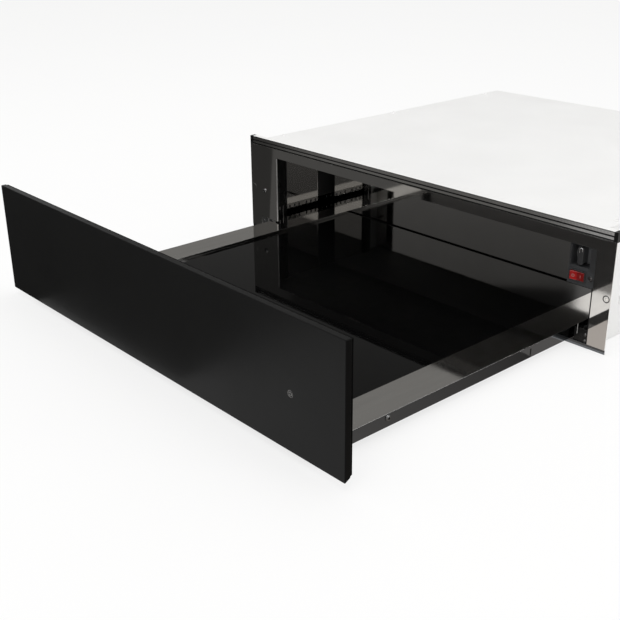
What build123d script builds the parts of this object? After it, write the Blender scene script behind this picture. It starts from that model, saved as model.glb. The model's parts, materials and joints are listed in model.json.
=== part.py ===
from build123d import *
import os

# Built-in warming drawer, standing open. Millimetres, +X to the right seen from the front,
# +Y to the back, +Z up. The origin is the centre of the carcass base's underside.

os.makedirs("parts", exist_ok=True)

# ---- carcass ----
carcass_depth = 534.0
lid_drop = 2.6
base_thick = 1.2
sheet = 1.0
flange_lip = 10.0
ceiling_room = 1.2
ceiling_rear_gap = 42.0
rib_pitch = 120.0
rib_width = 40.0
rib_rise = 1.5
rib_end_gap = 60.0
lid_screw_end_gap = 40.0
air_slot_width = 36.0
air_slot_height = 3.5
air_slot_pitch = 50.0
air_slot_low = 40.0
air_slot_row = 12.0
air_slots_left_x = -150.0
air_slots_right_x = 90.0

# ---- front frame ----
frame_width = 595.0
frame_lift = 0.6
frame_strip_height = 5.4
frame_thick = 1.5
grille_height = 10.9
frame_full_height = 137.2
frame_side_width = 21.9
frame_bar_height = 12.5
cover_width = 35.2
cover_above_rail = 1.6
strip_lean = 0.8
side_gap = 1.0

# ---- holes and screws in the frame ----
fixing_hole_edge_gap = 5.1
fixing_hole_z = 63.4
fixing_hole_radius = 2.3
fixing_rim_radius = 4.1
fixing_rim_depth = 0.5
frame_screw_inset = 8.0
frame_screw_z = 61.9

# ---- grille ----
cap_width = 4.6
grille_depth = 8.0
slat_thick = 1.0
slat_rise = 4.0
slat_lean = 1.5
slat_first_gap = 0.6
slat_gap = 0.5
slat_setback = 0.3
slat_depth = 1.2
grille_rib_spacing = 58.0
grille_rib_thick = 1.2
grille_room = 0.1
cap_dot_radius = 1.1
cap_dot_depth = 0.5
cap_dot_drop = 2.6

# ---- front panel ----
panel_bottom = 6.5
panel_thick = 6.5
panel_bevel = 5.0
panel_edge_break = 0.7
carrier_thick = 2.2
carrier_inset = 0.8
indicator_edge_gap = 68.2
indicator_rise = 57.5
indicator_radius = 3.6
indicator_depth = 2.5
indicator_room = 0.1
indicator_sunk = 0.2

# ---- drawer position and travel ----
drawer_open = 369.7
panel_gap_closed = 3.7

# ---- tray ----
tray_rear_gap = 44.0
tray_side_gap = 20.8
tray_over_strip = 0.4
rail_height = 13.4
rail_width = 41.7
rail_sheet = 1.2
rail_fold_radius = 0.6
glass_thick = 4.0
glass_drop = 3.4
glass_side_gap = 0.2
glass_front_gap = 2.0
glass_edge_break = 0.5
seal_width = 3.0
seal_sunk = 1.4
heater_thick = 0.8
heater_margin = 8.0
back_panel_inset = 4.8
back_panel_drop = 6.3
back_panel_sheet = 1.2
back_panel_hem = 9.0
cutout_radius = 7.5
cutout_room = 1.0
cutout_back = 246.7
skirt_slot_back = 298.3
skirt_slot_rise = 1.6
skirt_slot_width = 2.2
skirt_slot_height = 8.6

# ---- telescopic runners ----
runner_half_width = 14.0
runner_wall = 1.2
runner_wall_height = 12.0
runner_front_gap = 22.0
runner_rear_gap = 42.0
member_half_width = 8.4
member_rise = 0.2
member_end_gap = 5.0
cage_end_gap = 2.0
ball_radius = 2.2
ball_room = 0.3
ball_rise = 3.6
balls_per_row = 4
ball_spacing = 22.0
cage_length = 88.0
cage_thick = 1.6
cage_height = 5.6
cage_strap = 1.0
cage_hole_room = 0.2
strap_room = 0.4

# ---- brackets, posts, liners inside the carcass sides ----
post_depth = 10.6
post_setback = 25.3
post_width = 16.0
post_round = 2.0
post_groove_width = 1.0
post_groove_depth = 0.8
post_groove_back = 4.5
post_groove_end = 4.0
post_room = 0.5
guard_depth = 7.6
guard_over_rail = 12.2
slot_pitch = 9.1
slot_group_gap = 14.3
slot_width = 3.0
slot_height = 4.0
slot_below_top = 4.1
slot_end_gap = 6.0
bead_rise = 2.0
bead_proud = 1.6
liner_front_length = 63.0
liner_fold = 2.0
bracket_width = 18.6
bracket_sheet = 1.2
bracket_height = 21.0
bracket_depth = 18.0
bracket_fin_pitch = 8.0
bracket_fin_step = 4.0
bracket_screw_low = 8.6
bracket_screw_pitch = 7.0
bracket_screw_edge_gap = 3.6
bracket_screw_head = 2.4

# ---- controls ----
control_width = 33.0
control_height = 46.0
control_post_gap = 0.5
control_plate_thick = 3.5
control_housing_depth = 35.0
housing_wall = 1.0
recess_depth = 11.0
recess_wall = 1.2
knob_inset = 19.2
knob_drop = 13.8
knob_radius = 10.8
knob_base_thick = 3.0
knob_room = 0.7
knob_back_gap = 0.4
grip_width = 7.6
grip_height = 20.6
grip_depth = 8.6
grip_round = 1.6
shaft_radius = 3.0
shaft_room = 0.05
shaft_wall_room = 0.5
shaft_bore_end = 4.0
shaft_end_gap = 1.0
thermostat_half_width = 10.0
thermostat_height = 20.0
thermostat_depth = 22.0
switch_inset = 20.7
switch_drop = 35.9
bezel_width = 20.2
bezel_height = 12.6
bezel_proud = 1.2
bezel_lip = 0.4
rocker_width = 17.0
rocker_height = 9.6
rocker_room = 0.3
rocker_proud = 1.6
rocker_depth = 3.2
rocker_tilt = 6.0
rocker_axis_depth = 0.6
rocker_dip = 0.6
switch_body_length = 14.0
switch_body_inset = 2.0
lamp_inset = 5.0
lamp_drop = 35.9
lamp_radius = 3.4
lamp_proud = 0.8
lamp_rim = 0.7
lamp_tail = 6.0
lamp_room = 0.1

# ---- push latch ----
latch_width = 24.0
latch_height = 24.0
latch_z = 34.0
latch_length = 34.0
latch_bore_radius = 5.0
latch_bore_depth = 30.0
plunger_room = 0.05
plunger_wall = 1.0
plunger_rest_gap = 0.5
plunger_inside = 16.0
spring_radius = 3.4
spring_wire = 0.9
spring_front_gap = 5.0

# ---- electrics ----
terminal_side_gap = 45.6
terminal_z = 62.0
terminal_width = 62.0
terminal_height = 44.0
terminal_depth = 34.0
terminal_wall = 1.6
block_width = 40.0
block_height = 18.0
block_depth = 12.0
block_hole_radius = 3.0
block_hole_depth = 4.0
block_hole_pitch = 12.0
gland_radius = 9.0
gland_bore = 4.0
gland_length = 12.0
gland_nut_length = 4.8
gland_dome_radius = 7.2
gland_thread_radius = 6.0
gland_room = 0.2
gland_thread_length = 8.0

# ---- fasteners and bumpers ----
screw_head_radius = 3.2
screw_head_height = 1.8
screw_shank_radius = 1.5
screw_length = 5.0
screw_hole_room = 0.1
screw_dome = 1.6
side_screw_back = 85.3
side_screw_drop = 4.2
panel_plate_thick = 2.0
panel_plate_rise = 5.6
panel_plate_room = 0.4
panel_leg_length = 100.0
panel_leg_rise = 1.0
panel_screw_outer = 8.0
panel_screw_inner = 34.0
panel_screw_drop = 4.8
panel_screw_head = 2.6
bumper_radius = 4.0
bumper_height = 3.2
bumper_edge_gap = 11.5
bumper_end_gap = 17.5

# ---- places worked out from the sizes above ----
front_y = -carcass_depth / 2
back_y = carcass_depth / 2
frame_back = front_y + frame_thick
frame_half = frame_width / 2
opening_half_width = frame_half - frame_side_width
cover_inner_edge = opening_half_width - cover_width
fixing_hole_x = frame_half - fixing_hole_edge_gap
frame_screw_x = opening_half_width - frame_screw_inset
side_inner = opening_half_width + side_gap
side_outer = side_inner + sheet
carcass_height = frame_full_height - lid_drop
lid_under = carcass_height - base_thick
frame_bottom = frame_lift + frame_strip_height
grille_bottom = frame_full_height - grille_height
opening_top = grille_bottom - frame_bar_height
ceiling_height = opening_top + ceiling_room
tray_bottom = frame_bottom + tray_over_strip
rail_top = tray_bottom + rail_height
cover_bottom = rail_top + cover_above_rail
tray_half_width = opening_half_width - tray_side_gap
back_panel_half_width = tray_half_width - back_panel_inset
back_panel_top = opening_top - back_panel_drop
runner_x = tray_half_width - rail_width / 2
member_bottom = tray_bottom + member_rise
ball_height = tray_bottom + ball_rise
indicator_x = frame_half - indicator_edge_gap
indicator_z = panel_bottom + indicator_rise
panel_screw_z = rail_top - panel_screw_drop
side_screw_z = rail_top - side_screw_drop
post_inner = side_inner - post_depth
guard_x = side_inner - guard_depth
guard_height = rail_top + guard_over_rail
bracket_inner = side_inner - bracket_width
control_inner_edge = opening_half_width - control_width
control_bottom = ceiling_height - control_height
knob_x = opening_half_width - knob_inset
knob_z = ceiling_height - knob_drop
switch_x = opening_half_width - switch_inset
switch_z = ceiling_height - switch_drop
lamp_x = opening_half_width - lamp_inset
lamp_z = ceiling_height - lamp_drop
terminal_x = side_inner - terminal_side_gap - terminal_width / 2
panel_back = front_y - drawer_open
carrier_back = panel_back
carrier_front = carrier_back - carrier_thick
panel_front = carrier_front - panel_thick
closing_travel = drawer_open - panel_gap_closed
tray_length = carcass_depth - tray_rear_gap
tray_rear = panel_back + tray_length
rail_inner = tray_half_width - rail_width
glass_top = rail_top - glass_drop
glass_under = glass_top - glass_thick
glass_front = panel_back + glass_front_gap
glass_rear = tray_rear - seal_width
heater_under = glass_under - heater_thick
pan_floor_top = tray_bottom + sheet
runner_front = front_y + runner_front_gap
runner_rear = back_y - runner_rear_gap
member_front = panel_back + member_end_gap
member_rear = tray_rear - member_end_gap
ball_offset = (member_half_width + runner_half_width - runner_wall) / 2
groove_radius = ball_radius + ball_room
cage_front = runner_front + cage_end_gap
post_front = front_y + post_setback
post_back = post_front + post_width
guard_front = post_back + post_room
liner_split = guard_front + liner_front_length
control_front = frame_back
control_back = control_front + control_plate_thick


def slab(x1, x2, y1, y2, z1, z2, mode=Mode.ADD):
    # a box between two corners, added to the piece being built
    with Locations(((x1 + x2) / 2, (y1 + y2) / 2, (z1 + z2) / 2)):
        Box(abs(x2 - x1), abs(y2 - y1), abs(z2 - z1), mode=mode)


def rod_y(x, z, y1, y2, radius, mode=Mode.ADD):
    # a round bar along Y, added to the piece being built
    with Locations(Location((x, (y1 + y2) / 2, z), (90, 0, 0))):
        Cylinder(radius, abs(y2 - y1), mode=mode)


def rod_x(x1, x2, y, z, radius, mode=Mode.ADD):
    # a round bar along X, added to the piece being built
    with Locations(Location(((x1 + x2) / 2, y, z), (0, 90, 0))):
        Cylinder(radius, abs(x2 - x1), mode=mode)


def rod_z(x, y, z1, z2, radius, mode=Mode.ADD):
    # a round bar along Z, added to the piece being built
    with Locations((x, y, (z1 + z2) / 2)):
        Cylinder(radius, abs(z2 - z1), mode=mode)


sides = (("left", -1), ("right", 1))

# ================= carcass =================

with BuildPart() as carcass_base:
    slab(-side_outer, side_outer, frame_back, back_y, 0, base_thick)
    # pressed stiffening ribs between the runners
    for i in (-1, 0, 1):
        slab(i * rib_pitch - rib_width / 2, i * rib_pitch + rib_width / 2, frame_back + rib_end_gap,
             back_y - rib_end_gap, base_thick, base_thick + rib_rise)
carcass_base.part.label = "carcass_base"
export_step(carcass_base.part, "parts/carcass_base.step")

lid_screw_y = (front_y + lid_screw_end_gap, 0, back_y - lid_screw_end_gap)
for side, sign in sides:
    with BuildPart() as carcass_side:
        slab(sign * side_inner, sign * side_outer, frame_back, back_y, base_thick, lid_under)
        slab(sign * (side_inner - flange_lip), sign * side_inner, frame_back, back_y - sheet,
             lid_under - sheet, lid_under)
        for y in lid_screw_y:
            rod_z(sign * (side_inner - flange_lip / 2), y, lid_under - 2 * sheet, lid_under + sheet,
                  screw_shank_radius + screw_hole_room, mode=Mode.SUBTRACT)
    carcass_side.part.label = f"carcass_side_{side}"
    export_step(carcass_side.part, f"parts/carcass_side_{side}.step")

with BuildPart() as carcass_top:
    slab(-side_outer, side_outer, frame_back, back_y, lid_under, carcass_height)
    for side, sign in sides:
        for y in lid_screw_y:
            rod_z(sign * (side_inner - flange_lip / 2), y, lid_under - sheet, carcass_height + sheet,
                  screw_shank_radius + screw_hole_room, mode=Mode.SUBTRACT)
carcass_top.part.label = "carcass_top"
export_step(carcass_top.part, "parts/carcass_top.step")

with BuildPart() as carcass_back:
    slab(-side_inner, side_inner, back_y - sheet, back_y, base_thick, lid_under)
    # cooling air slots, two rows each side of the latch
    slot_places = [air_slots_left_x + i * air_slot_pitch for i in (-1, 0, 1)]
    slot_places += [air_slots_right_x + i * air_slot_pitch / 2 for i in (-1, 1)]
    for x in slot_places:
        for z in (air_slot_low, air_slot_low + air_slot_row):
            slab(x - air_slot_width / 2, x + air_slot_width / 2, back_y - 2 * sheet, back_y + sheet,
                 z, z + air_slot_height, mode=Mode.SUBTRACT)
    rod_y(terminal_x, terminal_z, back_y - 2 * sheet, back_y + sheet, gland_thread_radius + gland_room,
          mode=Mode.SUBTRACT)
carcass_back.part.label = "carcass_back"
export_step(carcass_back.part, "parts/carcass_back.step")

with BuildPart() as cavity_ceiling:
    slab(-side_inner, side_inner, frame_back, back_y - ceiling_rear_gap, ceiling_height,
         ceiling_height + sheet)
    slab(-side_inner, side_inner, back_y - ceiling_rear_gap - sheet, back_y - ceiling_rear_gap,
         ceiling_height + sheet, ceiling_height + flange_lip)
cavity_ceiling.part.label = "cavity_ceiling"
export_step(cavity_ceiling.part, "parts/cavity_ceiling.step")

# ================= front frame and grille =================

with BuildPart() as front_frame:
    with BuildSketch(Plane.XZ.offset(-front_y)):
        with Locations((0, (frame_bottom + grille_bottom) / 2)):
            Rectangle(frame_width, grille_bottom - frame_bottom)
        with BuildLine():
            Polyline(
                (-opening_half_width, frame_bottom - 1),
                (opening_half_width, frame_bottom - 1),
                (opening_half_width, opening_top),
                (-cover_inner_edge, opening_top),
                (-cover_inner_edge, cover_bottom),
                (-opening_half_width, cover_bottom),
                close=True,
            )
        make_face(mode=Mode.SUBTRACT)
    extrude(amount=-frame_thick)
    for side, sign in sides:
        rod_y(sign * fixing_hole_x, fixing_hole_z, front_y - 1, frame_back + 1, fixing_hole_radius,
              mode=Mode.SUBTRACT)
        rod_y(sign * fixing_hole_x, fixing_hole_z, front_y - 1, front_y + fixing_rim_depth,
              fixing_rim_radius, mode=Mode.SUBTRACT)
    rod_y(-frame_screw_x, frame_screw_z, front_y - 1, frame_back + 1, screw_shank_radius + screw_hole_room,
          mode=Mode.SUBTRACT)
front_frame.part.label = "front_frame"
export_step(front_frame.part, "parts/front_frame.step")

with BuildPart() as frame_bottom_strip:
    with BuildSketch(Plane.YZ.offset(-frame_half)):
        with BuildLine():
            Polyline(
                (front_y, frame_bottom),
                (front_y + strip_lean, frame_lift),
                (frame_back, frame_lift),
                (frame_back, frame_bottom),
                close=True,
            )
        make_face()
    extrude(amount=frame_width)
frame_bottom_strip.part.label = "frame_bottom_strip"
export_step(frame_bottom_strip.part, "parts/frame_bottom_strip.step")

grille_half = frame_half - cap_width
with BuildPart() as vent_grille:
    # lower sill and upper edge bar
    slab(-grille_half, grille_half, front_y, front_y + grille_depth,
         grille_bottom, grille_bottom + slat_thick)
    slab(-grille_half, grille_half, front_y, front_y + grille_depth,
         frame_full_height - slat_thick, frame_full_height)
    # two slats that lean back, front edge low
    first_slat = grille_bottom + slat_thick + slat_first_gap
    for lower in (first_slat, first_slat + slat_rise + slat_gap):
        with BuildSketch(Plane.YZ.offset(-grille_half)):
            with BuildLine():
                Polyline(
                    (front_y + slat_setback, lower),
                    (front_y + slat_setback + slat_depth, lower),
                    (front_y + slat_setback + slat_depth + slat_lean, lower + slat_rise),
                    (front_y + slat_setback + slat_lean, lower + slat_rise),
                    close=True,
                )
            make_face()
        extrude(amount=2 * grille_half)
    # upright ribs tie sill, slats and edge bar together
    rib_count = int(2 * grille_half // grille_rib_spacing)
    for i in range(rib_count + 1):
        x = (i - rib_count / 2) * grille_rib_spacing
        slab(x - grille_rib_thick / 2, x + grille_rib_thick / 2, front_y + slat_setback + slat_depth,
             front_y + grille_depth, grille_bottom, frame_full_height)
    slab(-grille_half, grille_half, front_y + grille_depth - slat_thick, front_y + grille_depth,
         carcass_height, frame_full_height)
    # the sill and slats clear the carcass lid behind the frame
    slab(-side_outer - grille_room, side_outer + grille_room, frame_back, front_y + grille_depth + 1,
         lid_under - grille_room, carcass_height + grille_room, mode=Mode.SUBTRACT)
    for side, sign in sides:
        slab(sign * (side_inner - flange_lip - grille_room), sign * (side_outer + grille_room), frame_back,
             front_y + grille_depth + 1, grille_bottom - 1, carcass_height + grille_room, mode=Mode.SUBTRACT)
vent_grille.part.label = "vent_grille"
export_step(vent_grille.part, "parts/vent_grille.step")

with BuildPart() as grille_end_caps:
    for side, sign in sides:
        slab(sign * grille_half, sign * frame_half, front_y, front_y + grille_depth,
             grille_bottom, frame_full_height)
        rod_y(sign * (grille_half + cap_width / 2), frame_full_height - cap_dot_drop, front_y - 1,
              front_y + cap_dot_depth, cap_dot_radius, mode=Mode.SUBTRACT)
grille_end_caps.part.label = "grille_end_caps"
export_step(grille_end_caps.part, "parts/grille_end_caps.step")

# ================= posts, liners, guards and brackets inside the sides =================

post_tops = {"left": ceiling_height, "right": control_bottom - control_post_gap}
bracket_screw_x = opening_half_width - bracket_screw_edge_gap
bracket_screw_places = (bracket_screw_low, bracket_screw_low + bracket_screw_pitch)
group_step = 2 * slot_pitch + slot_group_gap
group_count = int((runner_rear - guard_front - slot_end_gap - slot_width / 2) // group_step)
for side, sign in sides:
    with BuildPart() as side_post:
        slab(sign * post_inner, sign * side_inner, post_front, post_back, base_thick, post_tops[side])
        fillet(side_post.edges().filter_by(Axis.Z).group_by(Axis.X)[0 if sign > 0 else -1], post_round)
        # a groove for the bright edge strip
        slab(sign * (post_inner - 1), sign * (post_inner + post_groove_depth),
             post_back - post_groove_back - post_groove_width, post_back - post_groove_back,
             base_thick + post_groove_end, post_tops[side] - post_groove_end, mode=Mode.SUBTRACT)
    side_post.part.label = f"side_post_{side}"
    export_step(side_post.part, f"parts/side_post_{side}.step")

    with BuildPart() as side_liner_front:
        slab(sign * guard_x, sign * side_inner, guard_front, liner_split, guard_height, ceiling_height)
        slab(sign * (guard_x + sheet), sign * (side_inner + 1), guard_front + liner_fold,
             liner_split - liner_fold, guard_height - 1, ceiling_height - liner_fold, mode=Mode.SUBTRACT)
    side_liner_front.part.label = f"side_liner_front_{side}"
    export_step(side_liner_front.part, f"parts/side_liner_front_{side}.step")

    with BuildPart() as side_liner_rear:
        slab(sign * guard_x, sign * side_inner, liner_split, runner_rear, guard_height, ceiling_height)
        slab(sign * (guard_x + sheet), sign * (side_inner + 1), liner_split + liner_fold,
             runner_rear - liner_fold, guard_height - 1, ceiling_height - liner_fold, mode=Mode.SUBTRACT)
    side_liner_rear.part.label = f"side_liner_rear_{side}"
    export_step(side_liner_rear.part, f"parts/side_liner_rear_{side}.step")

    with BuildPart() as runner_guard:
        slab(sign * guard_x, sign * (guard_x + sheet), guard_front, runner_rear, base_thick, guard_height)
        slab(sign * guard_x, sign * side_inner, guard_front, runner_rear, guard_height - sheet, guard_height)
        # a rolled bead along the guard's face
        slab(sign * (guard_x - bead_proud), sign * guard_x, guard_front, runner_rear,
             rail_top - 2 * bead_rise, rail_top - bead_rise)
        for group in range(group_count):
            for tooth in range(3):
                y = guard_front + slot_end_gap + group * group_step + tooth * slot_pitch
                slab(sign * (guard_x - 1), sign * (guard_x + 2 * sheet),
                     y - slot_width / 2, y + slot_width / 2,
                     guard_height - slot_below_top - slot_height / 2,
                     guard_height - slot_below_top + slot_height / 2, mode=Mode.SUBTRACT)
    runner_guard.part.label = f"runner_guard_{side}"
    export_step(runner_guard.part, f"parts/runner_guard_{side}.step")

    with BuildPart() as runner_bracket:
        # upright plate behind the frame, with two fins that run back
        slab(sign * bracket_inner, sign * side_inner, frame_back, frame_back + bracket_sheet,
             base_thick, bracket_height)
        slab(sign * bracket_inner, sign * (bracket_inner + bracket_sheet), frame_back,
             frame_back + bracket_depth, base_thick, bracket_height - bracket_fin_step)
        second_fin = bracket_inner + bracket_fin_pitch
        slab(sign * second_fin, sign * (second_fin + bracket_sheet), frame_back,
             frame_back + bracket_depth, base_thick, bracket_height)
        slab(sign * bracket_inner, sign * side_inner, frame_back, frame_back + bracket_depth,
             base_thick, base_thick + bracket_sheet)
        for z in bracket_screw_places:
            rod_y(sign * bracket_screw_x, z, front_y, frame_back + 2 * bracket_sheet,
                  screw_shank_radius + screw_hole_room, mode=Mode.SUBTRACT)
    runner_bracket.part.label = f"runner_bracket_{side}"
    export_step(runner_bracket.part, f"parts/runner_bracket_{side}.step")

with BuildPart() as carcass_screws:
    # the frame's screw comes first, while its dome is the only round edge
    rod_y(-frame_screw_x, frame_screw_z, front_y, frame_back + screw_length, screw_shank_radius)
    rod_y(-frame_screw_x, frame_screw_z, front_y - screw_head_height, front_y, screw_head_radius)
    dome = carcass_screws.edges().filter_by(GeomType.CIRCLE).sort_by(Axis.Y)[0]
    fillet(dome, min(screw_dome, 0.9 * screw_head_height))
    for side, sign in sides:
        for y in lid_screw_y:
            x = sign * (side_inner - flange_lip / 2)
            rod_z(x, y, lid_under - screw_length, carcass_height, screw_shank_radius)
            rod_z(x, y, carcass_height, carcass_height + screw_head_height, screw_head_radius)
        for z in bracket_screw_places:
            x = sign * bracket_screw_x
            rod_y(x, z, frame_back, frame_back + screw_length, screw_shank_radius)
            rod_y(x, z, frame_back - bracket_sheet, frame_back, bracket_screw_head)
carcass_screws.part.label = "carcass_screws"
export_step(carcass_screws.part, "parts/carcass_screws.step")

# ================= telescopic runners =================

for side, sign in sides:
    centre = sign * runner_x
    wall_out = runner_half_width
    wall_in = runner_half_width - runner_wall
    with BuildPart() as runner_outer:
        slab(centre - wall_out, centre + wall_out, runner_front, runner_rear,
             base_thick, base_thick + runner_wall)
        for edge in (-1, 1):
            slab(centre + edge * wall_in, centre + edge * wall_out, runner_front, runner_rear,
                 base_thick, base_thick + runner_wall_height)
        # the rear end is closed and stops the cage
        slab(centre - wall_out, centre + wall_out, runner_rear - runner_wall, runner_rear,
             base_thick, base_thick + runner_wall_height)
        for edge in (-1, 1):
            rod_y(centre + edge * ball_offset, ball_height, runner_front - 1, runner_rear - runner_wall,
                  groove_radius, mode=Mode.SUBTRACT)
    runner_outer.part.label = f"runner_outer_{side}"
    export_step(runner_outer.part, f"parts/runner_outer_{side}.step")

    member_top = rail_top - rail_sheet
    with BuildPart() as runner_inner:
        slab(centre - member_half_width, centre + member_half_width, member_front, member_rear,
             member_top - runner_wall, member_top)
        for edge in (-1, 1):
            slab(centre + edge * (member_half_width - runner_wall), centre + edge * member_half_width,
                 member_front, member_rear, member_bottom, member_top)
        for edge in (-1, 1):
            rod_y(centre + edge * ball_offset, ball_height, member_front - 1, member_rear + 1,
                  groove_radius, mode=Mode.SUBTRACT)
    runner_inner.part.label = f"runner_inner_{side}"
    export_step(runner_inner.part, f"parts/runner_inner_{side}.step")

    first_ball = cage_front + (cage_length - (balls_per_row - 1) * ball_spacing) / 2
    ball_places = [
        (centre + edge * ball_offset, first_ball + i * ball_spacing, ball_height)
        for edge in (-1, 1)
        for i in range(balls_per_row)
    ]
    strap_bottom = base_thick + runner_wall + strap_room
    with BuildPart() as ball_cage:
        for edge in (-1, 1):
            mid = centre + edge * ball_offset
            slab(mid - cage_thick / 2, mid + cage_thick / 2, cage_front, cage_front + cage_length,
                 strap_bottom, ball_height + cage_height / 2)
        slab(centre - ball_offset, centre + ball_offset, cage_front, cage_front + cage_length,
             strap_bottom, strap_bottom + cage_strap)
        for x, y, z in ball_places:
            rod_x(x - cage_thick, x + cage_thick, y, z, ball_radius + cage_hole_room, mode=Mode.SUBTRACT)
    ball_cage.part.label = f"ball_cage_{side}"
    export_step(ball_cage.part, f"parts/ball_cage_{side}.step")

    with BuildPart() as runner_balls:
        with Locations(*ball_places):
            Sphere(ball_radius)
    runner_balls.part.label = f"runner_balls_{side}"
    export_step(runner_balls.part, f"parts/runner_balls_{side}.step")

# ================= front panel =================

bevel_at_joint = panel_bottom + panel_bevel * panel_thick / (panel_thick + carrier_thick)
panel_top = frame_full_height

with BuildPart() as front_panel:
    with BuildSketch(Plane.YZ.offset(-frame_half)):
        with BuildLine():
            Polyline(
                (panel_front, panel_bottom),
                (carrier_front, bevel_at_joint),
                (carrier_front, panel_top),
                (panel_front, panel_top),
                close=True,
            )
        make_face()
    extrude(amount=frame_width)
    front_edges = front_panel.edges().group_by(Axis.Y)[0]
    chamfer(front_edges, panel_edge_break)
    rod_y(indicator_x, indicator_z, panel_front - 1, panel_front + indicator_depth,
          indicator_radius + indicator_room, mode=Mode.SUBTRACT)
front_panel.part.label = "front_panel"
export_step(front_panel.part, "parts/front_panel.step")

with BuildPart() as indicator_lens:
    rod_y(indicator_x, indicator_z, panel_front + indicator_sunk, panel_front + indicator_depth,
          indicator_radius)
indicator_lens.part.label = "indicator_lens"
export_step(indicator_lens.part, "parts/indicator_lens.step")

panel_screw_places = [
    sign * (tray_half_width - inward)
    for side, sign in sides
    for inward in (panel_screw_outer, panel_screw_inner)
]
with BuildPart() as panel_carrier:
    carrier_half = frame_half - carrier_inset
    with BuildSketch(Plane.YZ.offset(-carrier_half)):
        with BuildLine():
            Polyline(
                (carrier_front, bevel_at_joint + carrier_inset),
                (carrier_back, panel_bottom + panel_bevel + carrier_inset),
                (carrier_back, panel_top - carrier_inset),
                (carrier_front, panel_top - carrier_inset),
                close=True,
            )
        make_face()
    extrude(amount=2 * carrier_half)
    for x in panel_screw_places:
        rod_y(x, panel_screw_z, carrier_front - 1, carrier_back + 1, screw_shank_radius + screw_hole_room,
              mode=Mode.SUBTRACT)
panel_carrier.part.label = "panel_carrier"
export_step(panel_carrier.part, "parts/panel_carrier.step")

with BuildPart() as panel_bumpers:
    for side, sign in sides:
        for z in (panel_bottom + bumper_end_gap, panel_top - bumper_end_gap):
            rod_y(sign * (frame_half - bumper_edge_gap), z, carrier_back, carrier_back + bumper_height,
                  bumper_radius)
panel_bumpers.part.label = "panel_bumpers"
export_step(panel_bumpers.part, "parts/panel_bumpers.step")

# ================= tray =================

for side, sign in sides:
    inner = sign * rail_inner
    outer = sign * tray_half_width
    side_screw_y = panel_back + side_screw_back
    with BuildPart() as tray_rail:
        slab(inner, outer, panel_back, tray_rear, tray_bottom, rail_top)
        fold = tray_rail.edges().filter_by(Axis.Y).group_by(Axis.Z)[-1]
        fillet(fold, rail_fold_radius)
        slab(inner + sign * rail_sheet, outer - sign * rail_sheet, panel_back - 1, tray_rear + 1,
             tray_bottom - 1, rail_top - rail_sheet, mode=Mode.SUBTRACT)
        rod_x(outer - sign * 2 * rail_sheet, outer + sign * rail_sheet, side_screw_y, side_screw_z,
              screw_shank_radius + screw_hole_room, mode=Mode.SUBTRACT)
        slot_y = panel_back + skirt_slot_back
        slab(outer - sign * 2 * rail_sheet, outer + sign * rail_sheet, slot_y - skirt_slot_width / 2,
             slot_y + skirt_slot_width / 2, tray_bottom + skirt_slot_rise,
             tray_bottom + skirt_slot_rise + skirt_slot_height, mode=Mode.SUBTRACT)
    tray_rail.part.label = f"tray_rail_{side}"
    export_step(tray_rail.part, f"parts/tray_rail_{side}.step")

    with BuildPart() as panel_bracket:
        # plate against the panel's carrier, and a leg along the inside of the rail's skirt
        slab(inner + sign * (rail_sheet + panel_plate_room), outer - sign * rail_sheet, panel_back,
             panel_back + panel_plate_thick, tray_bottom + panel_plate_rise, rail_top - rail_sheet)
        slab(outer - sign * (rail_sheet + bracket_sheet), outer - sign * rail_sheet, panel_back,
             panel_back + panel_leg_length, tray_bottom + panel_leg_rise, rail_top - rail_sheet)
        rod_x(outer - sign * (rail_sheet + 2 * bracket_sheet), outer, side_screw_y, side_screw_z,
              screw_shank_radius + screw_hole_room, mode=Mode.SUBTRACT)
        for x in panel_screw_places:
            rod_y(x, panel_screw_z, panel_back - 1, panel_back + panel_plate_thick + 1,
                  screw_shank_radius + screw_hole_room, mode=Mode.SUBTRACT)
    panel_bracket.part.label = f"panel_bracket_{side}"
    export_step(panel_bracket.part, f"parts/panel_bracket_{side}.step")

with BuildPart() as drawer_screws:
    # one dome screw through each rail's skirt, then four that hold the panel's brackets
    for side, sign in sides:
        skirt = sign * tray_half_width
        rod_x(skirt - sign * screw_length, skirt, panel_back + side_screw_back, side_screw_z,
              screw_shank_radius)
        rod_x(skirt, skirt + sign * screw_head_height, panel_back + side_screw_back, side_screw_z,
              screw_head_radius)
    for end in (0, -1):
        rim = drawer_screws.edges().filter_by(GeomType.CIRCLE).sort_by(Axis.X)[end]
        fillet(rim, min(screw_dome, 0.9 * screw_head_height))
    plate_back = panel_back + panel_plate_thick
    for x in panel_screw_places:
        rod_y(x, panel_screw_z, carrier_front, plate_back, screw_shank_radius)
        rod_y(x, panel_screw_z, plate_back, plate_back + screw_head_height, panel_screw_head)
drawer_screws.part.label = "drawer_screws"
export_step(drawer_screws.part, "parts/drawer_screws.step")

with BuildPart() as tray_pan:
    slab(-rail_inner, rail_inner, glass_front, tray_rear, tray_bottom, glass_under)
    slab(-rail_inner + sheet, rail_inner - sheet, glass_front + sheet, tray_rear - sheet,
         pan_floor_top, glass_under + sheet, mode=Mode.SUBTRACT)
tray_pan.part.label = "tray_pan"
export_step(tray_pan.part, "parts/tray_pan.step")

with BuildPart() as tray_front_bracket:
    slab(-rail_inner, rail_inner, panel_back, glass_front, tray_bottom + sheet, glass_top - glass_edge_break)
tray_front_bracket.part.label = "tray_front_bracket"
export_step(tray_front_bracket.part, "parts/tray_front_bracket.step")

with BuildPart() as insulation_pad:
    slab(-rail_inner + sheet, rail_inner - sheet, glass_front + sheet, tray_rear - sheet,
         pan_floor_top, heater_under)
    rod_z(0, panel_back + cutout_back, pan_floor_top - sheet, heater_under + sheet,
          cutout_radius + cutout_room, mode=Mode.SUBTRACT)
insulation_pad.part.label = "insulation_pad"
export_step(insulation_pad.part, "parts/insulation_pad.step")

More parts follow.
